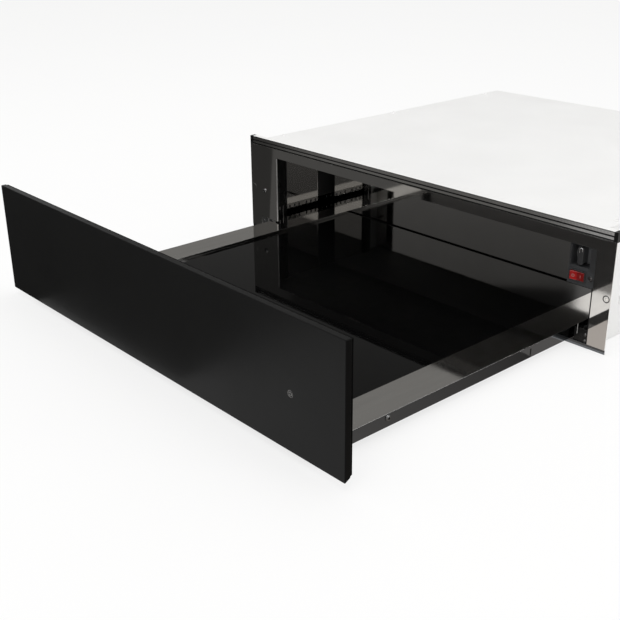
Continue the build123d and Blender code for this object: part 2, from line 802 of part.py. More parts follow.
with BuildPart() as thermal_cutout:
    rod_z(0, panel_back + cutout_back, pan_floor_top, heater_under, cutout_radius)
thermal_cutout.part.label = "thermal_cutout"
export_step(thermal_cutout.part, "parts/thermal_cutout.step")

with BuildPart() as heater_mat:
    slab(-rail_inner + sheet + heater_margin, rail_inner - sheet - heater_margin,
         glass_front + sheet + heater_margin, tray_rear - sheet - heater_margin, heater_under, glass_under)
heater_mat.part.label = "heater_mat"
export_step(heater_mat.part, "parts/heater_mat.step")

with BuildPart() as glass_plate:
    slab(-rail_inner + glass_side_gap, rail_inner - glass_side_gap, glass_front, glass_rear,
         glass_under, glass_top)
    chamfer(glass_plate.edges().group_by(Axis.Z)[-1], glass_edge_break)
glass_plate.part.label = "glass_plate"
export_step(glass_plate.part, "parts/glass_plate.step")

with BuildPart() as glass_seal:
    slab(-rail_inner + glass_side_gap, rail_inner - glass_side_gap, glass_rear, tray_rear,
         glass_under, glass_top - seal_sunk)
glass_seal.part.label = "glass_seal"
export_step(glass_seal.part, "parts/glass_seal.step")

with BuildPart() as tray_back_panel:
    slab(-back_panel_half_width, back_panel_half_width, tray_rear, tray_rear + back_panel_sheet,
         tray_bottom, back_panel_top)
    slab(-back_panel_half_width, back_panel_half_width, tray_rear, tray_rear + back_panel_hem,
         back_panel_top - back_panel_sheet, back_panel_top)
    slab(-rail_inner, rail_inner, tray_rear, tray_rear + back_panel_hem,
         tray_bottom, tray_bottom + back_panel_sheet)
    # the lower corners are notched where the runners pass under the rails
    for side, sign in sides:
        slab(sign * (rail_inner + rail_sheet), sign * (back_panel_half_width + 1), tray_rear - 1,
             tray_rear + back_panel_hem + 1, tray_bottom - 1, rail_top - rail_sheet, mode=Mode.SUBTRACT)
tray_back_panel.part.label = "tray_back_panel"
export_step(tray_back_panel.part, "parts/tray_back_panel.step")

# ================= controls =================

recess_half = knob_radius + knob_room
recess_back = control_front + recess_depth
bezel_x1 = switch_x - bezel_width / 2
bezel_x2 = switch_x + bezel_width / 2
bezel_z1 = switch_z - bezel_height / 2
bezel_z2 = switch_z + bezel_height / 2

with BuildPart() as control_plate:
    slab(control_inner_edge, side_inner, control_front, control_back, control_bottom, ceiling_height)
    # square cup around the knob
    slab(knob_x - recess_half - recess_wall, knob_x + recess_half + recess_wall, control_back,
         recess_back + recess_wall, knob_z - recess_half - recess_wall, knob_z + recess_half + recess_wall)
    slab(knob_x - recess_half, knob_x + recess_half, control_front - 1, recess_back,
         knob_z - recess_half, knob_z + recess_half, mode=Mode.SUBTRACT)
    rod_y(knob_x, knob_z, recess_back - 1, recess_back + recess_wall + 1, shaft_radius + shaft_wall_room,
          mode=Mode.SUBTRACT)
    slab(bezel_x1 + bezel_lip, bezel_x2 - bezel_lip, control_front - 1, control_back + 1,
         bezel_z1 + bezel_lip, bezel_z2 - bezel_lip, mode=Mode.SUBTRACT)
    rod_y(lamp_x, lamp_z, control_front - 1, control_back + 1, lamp_radius - lamp_rim + lamp_room,
          mode=Mode.SUBTRACT)
control_plate.part.label = "control_plate"
export_step(control_plate.part, "parts/control_plate.step")

housing_back = control_back + control_housing_depth
with BuildPart() as control_housing:
    slab(control_inner_edge, side_inner, control_back, housing_back, control_bottom, ceiling_height)
    slab(control_inner_edge + housing_wall, side_inner - housing_wall, control_back - 1,
         housing_back - housing_wall, control_bottom + housing_wall, ceiling_height - housing_wall,
         mode=Mode.SUBTRACT)
control_housing.part.label = "control_housing"
export_step(control_housing.part, "parts/control_housing.step")

body_front = recess_back + recess_wall
with BuildPart() as thermostat_body:
    slab(knob_x - thermostat_half_width, knob_x + thermostat_half_width, body_front,
         body_front + thermostat_depth, knob_z - thermostat_height / 2, knob_z + thermostat_height / 2)
    rod_y(knob_x, knob_z, body_front - 1, body_front + thermostat_depth - shaft_bore_end,
          shaft_radius + shaft_room, mode=Mode.SUBTRACT)
thermostat_body.part.label = "thermostat_body"
export_step(thermostat_body.part, "parts/thermostat_body.step")

knob_back = recess_back - knob_back_gap
with BuildPart() as thermostat_shaft:
    rod_y(knob_x, knob_z, knob_back, body_front + thermostat_depth - shaft_bore_end - shaft_end_gap,
          shaft_radius)
thermostat_shaft.part.label = "thermostat_shaft"
export_step(thermostat_shaft.part, "parts/thermostat_shaft.step")

with BuildPart() as thermostat_knob:
    rod_y(knob_x, knob_z, knob_back - knob_base_thick, knob_back, knob_radius)
    slab(knob_x - grip_width / 2, knob_x + grip_width / 2, knob_back - knob_base_thick - grip_depth,
         knob_back - knob_base_thick, knob_z - grip_height / 2, knob_z + grip_height / 2)
    uprights = thermostat_knob.edges().filter_by(Axis.Z).group_by(Axis.Y)[0]
    fillet(uprights, grip_round)
thermostat_knob.part.label = "thermostat_knob"
export_step(thermostat_knob.part, "parts/thermostat_knob.step")

with BuildPart() as switch_housing:
    slab(bezel_x1, bezel_x2, control_front - bezel_proud, control_front, bezel_z1, bezel_z2)
    slab(bezel_x1 + bezel_lip, bezel_x2 - bezel_lip, control_front, control_back,
         bezel_z1 + bezel_lip, bezel_z2 - bezel_lip)
    slab(bezel_x1 + switch_body_inset, bezel_x2 - switch_body_inset, control_back,
         control_back + switch_body_length, bezel_z1 + switch_body_inset, bezel_z2 - switch_body_inset)
    slab(switch_x - rocker_width / 2 - rocker_room, switch_x + rocker_width / 2 + rocker_room,
         control_front - bezel_proud - 1, control_front + rocker_depth,
         switch_z - rocker_height / 2 - rocker_room, switch_z + rocker_height / 2 + rocker_room,
         mode=Mode.SUBTRACT)
switch_housing.part.label = "switch_housing"
export_step(switch_housing.part, "parts/switch_housing.step")

# the rocker is a shallow V seen from above, with its right half pressed in
rocker_axis_y = control_front + rocker_axis_depth
rocker_front = -(rocker_axis_depth + bezel_proud + rocker_proud)
rocker_back = 2 * rocker_axis_depth
rocker_plane = Plane(
    origin=(switch_x, rocker_axis_y, switch_z - rocker_height / 2), z_dir=(0, 0, 1)
).rotated((0, 0, rocker_tilt))
with BuildPart() as switch_rocker:
    with BuildSketch(rocker_plane):
        with BuildLine():
            Polyline(
                (-rocker_width / 2 + rocker_room, rocker_back),
                (-rocker_width / 2 + rocker_room / 2, rocker_front),
                (0, rocker_front + rocker_dip),
                (rocker_width / 2 - rocker_room / 2, rocker_front),
                (rocker_width / 2 - rocker_room, rocker_back),
                close=True,
            )
        make_face()
    extrude(amount=rocker_height)
switch_rocker.part.label = "switch_rocker"
export_step(switch_rocker.part, "parts/switch_rocker.step")

with BuildPart() as pilot_lamp:
    rod_y(lamp_x, lamp_z, control_front - lamp_proud, control_front, lamp_radius)
    rod_y(lamp_x, lamp_z, control_front, control_back + lamp_tail, lamp_radius - lamp_rim)
pilot_lamp.part.label = "pilot_lamp"
export_step(pilot_lamp.part, "parts/pilot_lamp.step")

# ================= push latch =================

latch_front = back_y - sheet - latch_length
plunger_tip = tray_rear + back_panel_sheet + closing_travel + plunger_rest_gap
plunger_end = latch_front + plunger_inside
plunger_radius = latch_bore_radius - plunger_room
with BuildPart() as latch_body:
    slab(-latch_width / 2, latch_width / 2, latch_front, back_y - sheet,
         latch_z - latch_height / 2, latch_z + latch_height / 2)
    rod_y(0, latch_z, latch_front - 1, latch_front + latch_bore_depth, latch_bore_radius, mode=Mode.SUBTRACT)
latch_body.part.label = "latch_body"
export_step(latch_body.part, "parts/latch_body.step")

with BuildPart() as latch_plunger:
    rod_y(0, latch_z, plunger_tip, plunger_end, plunger_radius)
    rod_y(0, latch_z, latch_front - 1, plunger_end + 1, plunger_radius - plunger_wall, mode=Mode.SUBTRACT)
latch_plunger.part.label = "latch_plunger"
export_step(latch_plunger.part, "parts/latch_plunger.step")

with BuildPart() as latch_spring:
    rod_y(0, latch_z, latch_front + spring_front_gap, latch_front + latch_bore_depth, spring_radius)
    rod_y(0, latch_z, latch_front, latch_front + latch_bore_depth + 1, spring_radius - spring_wire,
          mode=Mode.SUBTRACT)
latch_spring.part.label = "latch_spring"
export_step(latch_spring.part, "parts/latch_spring.step")

# ================= electrics at the rear =================

terminal_front = back_y - sheet - terminal_depth
with BuildPart() as terminal_box:
    slab(terminal_x - terminal_width / 2, terminal_x + terminal_width / 2, terminal_front, back_y - sheet,
         terminal_z - terminal_height / 2, terminal_z + terminal_height / 2)
    slab(terminal_x - terminal_width / 2 + terminal_wall, terminal_x + terminal_width / 2 - terminal_wall,
         terminal_front + terminal_wall, back_y, terminal_z - terminal_height / 2 + terminal_wall,
         terminal_z + terminal_height / 2 - terminal_wall, mode=Mode.SUBTRACT)
terminal_box.part.label = "terminal_box"
export_step(terminal_box.part, "parts/terminal_box.step")

with BuildPart() as terminal_block:
    block_back = terminal_front + terminal_wall + block_depth
    slab(terminal_x - block_width / 2, terminal_x + block_width / 2, terminal_front + terminal_wall,
         block_back, terminal_z - block_height / 2, terminal_z + block_height / 2)
    for i in (-1, 0, 1):
        rod_y(terminal_x + i * block_hole_pitch, terminal_z, block_back - block_hole_depth, block_back + 1,
              block_hole_radius, mode=Mode.SUBTRACT)
terminal_block.part.label = "terminal_block"
export_step(terminal_block.part, "parts/terminal_block.step")

with BuildPart() as cable_gland:
    with BuildSketch(Plane.XZ.offset(-back_y)):
        with Locations((terminal_x, terminal_z)):
            RegularPolygon(gland_radius, 6)
    extrude(amount=-gland_nut_length)
    rod_y(terminal_x, terminal_z, back_y, back_y + gland_length, gland_dome_radius)
    rod_y(terminal_x, terminal_z, back_y - gland_thread_length, back_y, gland_thread_radius)
    rod_y(terminal_x, terminal_z, back_y - gland_thread_length - 1, back_y + gland_length + 1, gland_bore,
          mode=Mode.SUBTRACT)
cable_gland.part.label = "cable_gland"
export_step(cable_gland.part, "parts/cable_gland.step")
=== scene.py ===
import bmesh
import bpy
import json
import math
from itertools import product
from mathutils import Matrix, Vector

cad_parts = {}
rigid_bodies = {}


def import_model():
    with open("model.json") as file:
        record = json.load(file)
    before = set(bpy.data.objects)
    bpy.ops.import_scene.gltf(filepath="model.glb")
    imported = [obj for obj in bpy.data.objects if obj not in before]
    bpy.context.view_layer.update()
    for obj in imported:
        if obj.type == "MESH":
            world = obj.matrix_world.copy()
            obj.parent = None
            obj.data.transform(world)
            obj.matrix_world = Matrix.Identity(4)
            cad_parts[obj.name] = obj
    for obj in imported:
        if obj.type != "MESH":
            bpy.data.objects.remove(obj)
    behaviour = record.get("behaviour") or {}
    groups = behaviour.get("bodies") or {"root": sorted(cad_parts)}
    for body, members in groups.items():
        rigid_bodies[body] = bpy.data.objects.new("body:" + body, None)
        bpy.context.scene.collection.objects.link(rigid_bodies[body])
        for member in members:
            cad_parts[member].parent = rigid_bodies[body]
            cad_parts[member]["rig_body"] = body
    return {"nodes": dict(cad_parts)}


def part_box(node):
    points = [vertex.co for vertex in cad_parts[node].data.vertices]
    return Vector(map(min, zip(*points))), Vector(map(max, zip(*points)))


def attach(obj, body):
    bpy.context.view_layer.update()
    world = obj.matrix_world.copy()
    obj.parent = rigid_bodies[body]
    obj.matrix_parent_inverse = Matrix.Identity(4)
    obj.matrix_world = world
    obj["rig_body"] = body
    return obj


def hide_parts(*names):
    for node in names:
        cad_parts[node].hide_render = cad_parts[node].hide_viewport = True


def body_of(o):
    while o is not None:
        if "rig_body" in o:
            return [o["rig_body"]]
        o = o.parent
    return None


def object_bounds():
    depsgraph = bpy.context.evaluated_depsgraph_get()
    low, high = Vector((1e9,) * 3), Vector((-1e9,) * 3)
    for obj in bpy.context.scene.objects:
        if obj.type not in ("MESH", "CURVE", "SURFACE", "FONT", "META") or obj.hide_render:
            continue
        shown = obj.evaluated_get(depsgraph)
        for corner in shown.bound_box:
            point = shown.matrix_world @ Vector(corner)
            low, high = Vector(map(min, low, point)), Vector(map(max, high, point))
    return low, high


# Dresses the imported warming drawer. Metres, +X right, +Y to the back, +Z up.
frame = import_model()
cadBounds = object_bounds()
nodes = frame["nodes"]
scene = bpy.context.scene
mm = 0.001
print("frame loaded:", len(nodes), "nodes")


def lowEdge(node, axis):
    # where a frame node begins along an axis, in millimetres to a hundredth
    return round(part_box(node)[0][axis] / mm, 2)


def highEdge(node, axis):
    return round(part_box(node)[1][axis] / mm, 2)


def middleOf(node, axis):
    low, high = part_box(node)
    return round((low[axis] + high[axis]) / 2 / mm, 2)


x, y, z = range(3)
towardsFront = (0, -1, 0)
towardsBack = (0, 1, 0)
upwards = (0, 0, 1)
frameFront = lowEdge("front_frame", y)
frameBack = highEdge("front_frame", y)
carrierBack = highEdge("panel_carrier", y)


# shader helpers

def addNode(tree, kind, **sockets):
    node = tree.nodes.new(kind)
    for label, value in sockets.items():
        node.inputs[label.replace("_", " ")].default_value = value
    return node


def objectPlace(tree, stretch=(1, 1, 1)):
    # object coordinates, pulled along one axis where a finish has a direction
    place = tree.nodes.new("ShaderNodeTexCoord")
    shift = tree.nodes.new("ShaderNodeMapping")
    shift.inputs["Scale"].default_value = stretch
    tree.links.new(place.outputs["Object"], shift.inputs["Vector"])
    return shift.outputs["Vector"]


def spread(tree, value, low, high, fromLow=0.3, fromHigh=0.7):
    # maps a noise value into the range that a finish needs
    node = tree.nodes.new("ShaderNodeMapRange")
    node.inputs["From Min"].default_value = fromLow
    node.inputs["From Max"].default_value = fromHigh
    node.inputs["To Min"].default_value = low
    node.inputs["To Max"].default_value = high
    tree.links.new(value, node.inputs["Value"])
    return node.outputs["Result"]


def noiseOf(tree, vector, scale, detail=3.0):
    node = addNode(tree, "ShaderNodeTexNoise", Scale=scale, Detail=detail)
    tree.links.new(vector, node.inputs["Vector"])
    return node.outputs["Fac"]


def blendColours(tree, factor, first, second):
    node = tree.nodes.new("ShaderNodeMix")
    node.data_type = "RGBA"
    node.inputs["A"].default_value = (*first, 1)
    node.inputs["B"].default_value = (*second, 1)
    tree.links.new(factor, node.inputs["Factor"])
    return node.outputs["Result"]


# what every finish has unless its own look says otherwise; scales are counts per metre
usualLook = {
    "metallic": 0.0,
    "specular": 0.5,
    "coat": 0.0,
    "coatRoughness": 0.1,
    "sheen": 0.0,
    "stretch": (1, 1, 1),
    "mottleScale": 40.0,
    "smearScale": 18.0,
    "smearDetail": 5.0,
    "grainScale": 900.0,
    "grainDetail": 2.0,
    "bump": 0.05,
    "bumpDepth": 0.0002,     # metres
}


def finishOf(name, ownLook):
    # one principled surface with its own grain, mottling and unevenness
    look = {**usualLook, **ownLook}
    material = bpy.data.materials.new(name)
    material.use_nodes = True
    tree = material.node_tree
    shader = tree.nodes["Principled BSDF"]
    for label, key in (("Metallic", "metallic"), ("Specular IOR Level", "specular"), ("Coat Weight", "coat"),
                       ("Coat Roughness", "coatRoughness"), ("Sheen Weight", "sheen")):
        shader.inputs[label].default_value = look[key]
    vector = objectPlace(tree, look["stretch"])
    mottle = noiseOf(tree, vector, look["mottleScale"])
    colour = blendColours(tree, spread(tree, mottle, 0, 1), look["colour"], look["second"])
    tree.links.new(colour, shader.inputs["Base Color"])
    smear = noiseOf(tree, vector, look["smearScale"], look["smearDetail"])
    tree.links.new(spread(tree, smear, *look["roughness"]), shader.inputs["Roughness"])
    grain = noiseOf(tree, vector, look["grainScale"], look["grainDetail"])
    bump = addNode(tree, "ShaderNodeBump", Strength=look["bump"], Distance=look["bumpDepth"])
    tree.links.new(grain, bump.inputs["Height"])
    tree.links.new(bump.outputs["Normal"], shader.inputs["Normal"])
    return material


# each finish has two colours that mottle and a span of roughness
looks = {
    "mirrorSteel": {
        "colour": (0.82, 0.805, 0.785), "second": (0.78, 0.765, 0.745), "metallic": 1.0,
        "roughness": (0.035, 0.06), "smearScale": 9.0, "bump": 0.006, "grainScale": 120.0},
    "grilleSteel": {
        "colour": (0.30, 0.295, 0.288), "second": (0.26, 0.256, 0.25), "metallic": 1.0,
        "roughness": (0.09, 0.13), "smearScale": 9.0, "bump": 0.006, "grainScale": 120.0},
    # painted shade: a darker copy of the bright steel for the rails' outer skirts and the frame's bottom
    # strip
    "paintedShadeSteel": {
        "colour": (0.150, 0.157, 0.165), "second": (0.125, 0.131, 0.138), "metallic": 1.0,
        "roughness": (0.07, 0.11), "stretch": (1, 0.06, 1), "smearScale": 60.0, "bump": 0.006},
    # painted highlight: a pale steel for strips on the opening's edge, the posts and the runner brackets
    "paintedHighlightSatin": {
        "colour": (0.46, 0.455, 0.44), "second": (0.38, 0.375, 0.365), "metallic": 0.15,
        "roughness": (0.36, 0.48), "mottleScale": 300.0, "bump": 0.02},
    "railSteel": {
        "colour": (0.80, 0.785, 0.76), "second": (0.75, 0.735, 0.715), "metallic": 1.0,
        "roughness": (0.055, 0.085), "stretch": (1, 0.06, 1), "smearScale": 60.0, "mottleScale": 120.0,
        "bump": 0.006},
    "coverSteel": {
        "colour": (0.44, 0.43, 0.42), "second": (0.38, 0.37, 0.36), "metallic": 0.85,
        "roughness": (0.30, 0.42), "stretch": (0.05, 1, 1), "smearScale": 70.0, "mottleScale": 160.0,
        "bump": 0.02},
    "panelBlack": {
        "colour": (0.0078, 0.0078, 0.0078), "second": (0.0092, 0.0092, 0.0091), "specular": 0.08,
        "roughness": (0.34, 0.42), "mottleScale": 6.0, "bump": 0.04, "grainScale": 2600.0},
    "carrierBlack": {
        "colour": (0.0012, 0.0012, 0.0012), "second": (0.0018, 0.0018, 0.0018), "specular": 0.02,
        "roughness": (0.38, 0.5), "bump": 0.05, "grainScale": 1800.0},
    "heatingGlass": {
        "colour": (0.0014, 0.0014, 0.0015), "second": (0.0020, 0.0020, 0.0020), "specular": 0.17,
        "roughness": (0.012, 0.03), "smearScale": 7.0, "bump": 0.0},
    "sealRubber": {
        "colour": (0.002, 0.002, 0.002), "second": (0.004, 0.004, 0.004), "specular": 0.15,
        "roughness": (0.55, 0.75), "bump": 0.2, "grainScale": 1500.0},
    "linerSteel": {
        "colour": (0.82, 0.805, 0.785), "second": (0.78, 0.765, 0.745), "metallic": 1.0,
        "roughness": (0.05, 0.08), "stretch": (1, 0.08, 1), "smearScale": 50.0, "bump": 0.004,
        "grainScale": 300.0},
    "guardSteel": {
        "colour": (0.34, 0.335, 0.325), "second": (0.24, 0.235, 0.23), "metallic": 1.0,
        "roughness": (0.06, 0.10), "bump": 0.006, "grainScale": 300.0},
    "ceilingSteel": {
        "colour": (0.34, 0.335, 0.325), "second": (0.28, 0.275, 0.27), "metallic": 0.6,
        "roughness": (0.35, 0.5), "mottleScale": 60.0, "bump": 0.03},
    "darkSheet": {
        "colour": (0.009, 0.009, 0.009), "second": (0.015, 0.015, 0.0145), "metallic": 0.3,
        "specular": 0.3, "roughness": (0.20, 0.32), "grainScale": 700.0},
    "rearSheet": {
        "colour": (0.048, 0.048, 0.047), "second": (0.038, 0.038, 0.037), "metallic": 0.2,
        "specular": 0.3, "roughness": (0.30, 0.42), "bump": 0.04, "grainScale": 700.0},
    "whiteEnamel": {
        "colour": (0.875, 0.875, 0.87), "second": (0.845, 0.845, 0.84), "specular": 0.25,
        "roughness": (0.4, 0.52), "mottleScale": 10.0, "bumpDepth": 0.0003, "grainScale": 420.0},
    "zincSheet": {
        "colour": (0.50, 0.51, 0.52), "second": (0.36, 0.37, 0.38), "metallic": 0.9,
        "roughness": (0.26, 0.42), "mottleScale": 90.0, "smearScale": 60.0, "bump": 0.03},
    "runnerZinc": {
        "colour": (0.58, 0.58, 0.59), "second": (0.46, 0.47, 0.49), "metallic": 1.0,
        "roughness": (0.22, 0.34), "stretch": (1, 0.05, 1), "mottleScale": 160.0, "bump": 0.03},
    "cageSteel": {
        "colour": (0.40, 0.40, 0.41), "second": (0.30, 0.30, 0.31), "metallic": 0.9,
        "roughness": (0.28, 0.4), "mottleScale": 140.0, "bump": 0.04},
    "ballSteel": {
        "colour": (0.72, 0.72, 0.73), "second": (0.66, 0.66, 0.67), "metallic": 1.0,
        "roughness": (0.04, 0.08), "bump": 0.005},
    "screwSteel": {
        "colour": (0.70, 0.70, 0.70), "second": (0.58, 0.58, 0.58), "metallic": 1.0,
        "roughness": (0.12, 0.2), "mottleScale": 300.0, "bump": 0.02},
    "screwDark": {
        "colour": (0.20, 0.20, 0.20), "second": (0.15, 0.15, 0.15), "metallic": 1.0,
        "roughness": (0.2, 0.3), "mottleScale": 300.0, "bump": 0.02},
    # black of the grille's end caps; also the painted shade behind the grille's gaps, in the rail slots, in
    # the opening and round the right fixing screw
    "capAndShadeBlack": {
        "colour": (0.005, 0.005, 0.005), "second": (0.008, 0.008, 0.008), "specular": 0.2,
        "roughness": (0.32, 0.42), "bump": 0.08, "grainScale": 1600.0},
    "controlGrey": {
        "colour": (0.044, 0.045, 0.047), "second": (0.037, 0.038, 0.040), "specular": 0.25,
        "roughness": (0.30, 0.4), "bump": 0.06, "grainScale": 1500.0},
    "knobBlack": {
        "colour": (0.036, 0.036, 0.037), "second": (0.030, 0.030, 0.031), "specular": 0.4,
        "roughness": (0.18, 0.26), "grainScale": 1900.0},
    # painted light: the knob's disc is paler than its grip, against the shade of its recess
    "paintedLightDiscGrey": {
        "colour": (0.085, 0.086, 0.088), "second": (0.070, 0.071, 0.073), "specular": 0.4,
        "roughness": (0.2, 0.3), "grainScale": 1700.0},
    "bodyPlastic": {
        "colour": (0.014, 0.014, 0.014), "second": (0.020, 0.020, 0.020), "specular": 0.35,
        "roughness": (0.42, 0.55), "bump": 0.1, "grainScale": 1200.0},
    "switchGrey": {
        "colour": (0.034, 0.034, 0.035), "second": (0.027, 0.027, 0.028),
        "roughness": (0.22, 0.32), "grainScale": 1500.0},
    "rockerRed": {
        "colour": (0.36, 0.010, 0.009), "second": (0.24, 0.007, 0.007), "specular": 0.6,
        "roughness": (0.10, 0.18), "mottleScale": 220.0, "coat": 0.5, "coatRoughness": 0.06, "bump": 0.02},
    "printWhite": {
        "colour": (0.34, 0.16, 0.15), "second": (0.28, 0.12, 0.11), "specular": 0.4,
        "roughness": (0.3, 0.42), "mottleScale": 700.0, "bump": 0.02},
    "lampLens": {
        "colour": (0.030, 0.024, 0.024), "second": (0.022, 0.018, 0.018), "specular": 0.6,
        "roughness": (0.06, 0.12), "coat": 0.6, "coatRoughness": 0.05, "bump": 0.01},
    "indicatorPale": {
        "colour": (0.17, 0.165, 0.16), "second": (0.12, 0.117, 0.114),
        "roughness": (0.2, 0.3), "mottleScale": 900.0, "bump": 0.02},
    "wool": {
        "colour": (0.62, 0.58, 0.50), "second": (0.50, 0.46, 0.38), "specular": 0.1, "sheen": 0.3,
        "roughness": (0.85, 0.98), "stretch": (1, 0.3, 1), "mottleScale": 180.0, "bump": 0.6,
        "bumpDepth": 0.0006},
    "foil": {
        "colour": (0.80, 0.80, 0.81), "second": (0.70, 0.70, 0.71), "metallic": 1.0,
        "roughness": (0.2, 0.36), "bump": 0.3, "bumpDepth": 0.0005, "grainScale": 240.0},
    "brass": {
        "colour": (0.62, 0.44, 0.18), "second": (0.52, 0.36, 0.14), "metallic": 1.0,
        "roughness": (0.18, 0.3), "bump": 0.03},
    "blockWhite": {
        "colour": (0.66, 0.65, 0.61), "second": (0.58, 0.57, 0.54), "specular": 0.3,
        "roughness": (0.4, 0.55)},
}
finishes = {name: finishOf(name, look) for name, look in looks.items()}


def layColour(material, share, colour):
    # lays a colour over a finish by a share from 0 to 1
    tree = material.node_tree
    socket = tree.nodes["Principled BSDF"].inputs["Base Color"]
    mix = tree.nodes.new("ShaderNodeMix")
    mix.data_type = "RGBA"
    mix.inputs["B"].default_value = (*colour, 1)
    tree.links.new(share, mix.inputs["Factor"])
    tree.links.new(socket.links[0].from_socket, mix.inputs["A"])
    tree.links.new(mix.outputs["Result"], socket)


# faint slanting strokes across the grille's sheet
strokes = {
    "period": 0.0034,           # metres along X
    "lean": 32,                 # degrees
    "strength": 0.16,
    "colour": (0.01, 0.01, 0.01),
    "waveScale": 0.31416,       # scale at which one wave is a metre long
}


def hatch(material, look):
    tree = material.node_tree
    place = tree.nodes.new("ShaderNodeTexCoord")
    turned = tree.nodes.new("ShaderNodeMapping")
    turned.inputs["Rotation"].default_value = (0, math.radians(look["lean"]), 0)
    tree.links.new(place.outputs["Object"], turned.inputs["Vector"])
    wave = addNode(tree, "ShaderNodeTexWave", Scale=look["waveScale"] / look["period"])
    wave.bands_direction = "X"
    tree.links.new(turned.outputs["Vector"], wave.inputs["Vector"])
    layColour(material, spread(tree, wave.outputs["Fac"], look["strength"], 0.0, 0.0, 1.0), look["colour"])


# darker colours laid past a line: finish, axis, where it begins and where it is full, in metres, colour. The
# rocker's right face and the panel's end faces get painted shade; the guards are darker below about 24 mm
shadeAndToneSplits = (
    ("guardSteel", "Z", 0.0253, 0.0237, (0.02, 0.02, 0.0195)),
    # painted shade on the rocker's right face
    ("rockerRed", "X", 0.2550, 0.2553, (0.16, 0.005, 0.005)),
    # painted shade on the panel's two end faces
    ("panelBlack", "X", -0.2966, -0.2970, (0.001, 0.001, 0.001)),
    ("panelBlack", "X", 0.2966, 0.2970, (0.001, 0.001, 0.001)),
)


def splitTone(material, axis, start, end, colour):
    tree = material.node_tree
    parts = tree.nodes.new("ShaderNodeSeparateXYZ")
    tree.links.new(objectPlace(tree), parts.inputs["Vector"])
    layColour(material, spread(tree, parts.outputs[axis], 0, 1, start, end), colour)


for finish, axis, start, end, colour in shadeAndToneSplits:
    splitTone(finishes[finish], axis, start, end, colour)
hatch(finishes["grilleSteel"], strokes)
print("finishes made:", len(finishes))


# mesh helpers

def bevelEdges(bm, edges, radius, segments):
    bmesh.ops.bevel(bm, geom=list(edges), offset=radius, segments=segments, profile=0.5, affect="EDGES")


def roundedBlock(bm, low, high, radius, segments=3):
    made = bmesh.ops.create_cube(bm, size=1)["verts"]
    for vertex in made:
        vertex.co = Vector([low[i] + (vertex.co[i] + 0.5) * (high[i] - low[i]) for i in range(3)])
    bevelEdges(bm, {edge for vertex in made for edge in vertex.link_edges}, radius, segments)


def sideBlock(bm, side, low, high, radius, segments=3):
    # a block drawn for the right side, mirrored where side is -1
    xs = sorted((side * low[0], side * high[0]))
    roundedBlock(bm, (xs[0], low[1], low[2]), (xs[1], high[1], high[2]), radius, segments)


def prism(bm, outline, place, start, end, radius=0.0, segments=2):
    # place turns an outline point and a distance into a point in space
    near = [bm.verts.new(place(u, v, start)) for u, v in outline]
    far = [bm.verts.new(place(u, v, end)) for u, v in outline]
    count = len(outline)
    faces = [bm.faces.new(near), bm.faces.new(list(reversed(far)))]
    for i in range(count):
        j = (i + 1) % count
        faces.append(bm.faces.new((near[j], near[i], far[i], far[j])))
    bmesh.ops.recalc_face_normals(bm, faces=faces)
    if radius:
        bevelEdges(bm, {edge for face in faces for edge in face.edges}, radius, segments)


def alongX(u, v, w):
    return Vector((w, u, v))


def alongY(u, v, w):
    return Vector((u, w, v))


def bentLine(corners, bend, steps=5):
    # a path whose inner corners are arcs of the bend radius
    points = [Vector(corner) for corner in corners]
    line = [points[0]]
    for before, corner, after in zip(points, points[1:], points[2:]):
        back = (before - corner).normalized()
        ahead = (after - corner).normalized()
        half = back.angle(ahead) / 2
        reach = bend / math.tan(half)
        middle = corner + (back + ahead).normalized() * (bend / math.sin(half))
        first = corner + back * reach - middle
        last = corner + ahead * reach - middle
        turn = first.angle_signed(last)
        for i in range(steps + 1):
            angle = -turn * i / steps
            line.append(middle + Matrix.Rotation(angle, 2) @ first)
    line.append(points[-1])
    return line


def roundedOutline(halfWide, halfTall, radius, steps=6):
    # a rectangle with rounded corners about the origin
    outline = []
    for sx, sz, start in ((1, 1, 0), (-1, 1, 90), (-1, -1, 180), (1, -1, 270)):
        for i in range(steps + 1):
            angle = math.radians(start + 90 / steps * i)
            outline.append((sx * (halfWide - radius) + radius * math.cos(angle),
                            sz * (halfTall - radius) + radius * math.sin(angle)))
    return outline


def tube(bm, path, radius, steps=12):
    # a round wire along a path that lies across Y
    rows = []
    for i, point in enumerate(path):
        along = (path[min(i + 1, len(path) - 1)] - path[max(i - 1, 0)]).normalized()
        side = along.cross(Vector((0, 1, 0))).normalized()
        up = side.cross(along)
        rows.append([bm.verts.new(point + (side * math.cos(a) + up * math.sin(a)) * radius)
                     for a in (2 * math.pi * k / steps for k in range(steps))])
    for first, second in zip(rows, rows[1:]):
        for i in range(steps):
            j = (i + 1) % steps
            bm.faces.new((first[i], first[j], second[j], second[i]))
    bm.faces.new(rows[0])
    bm.faces.new(list(reversed(rows[-1])))
    bmesh.ops.recalc_face_normals(bm, faces=bm.faces)


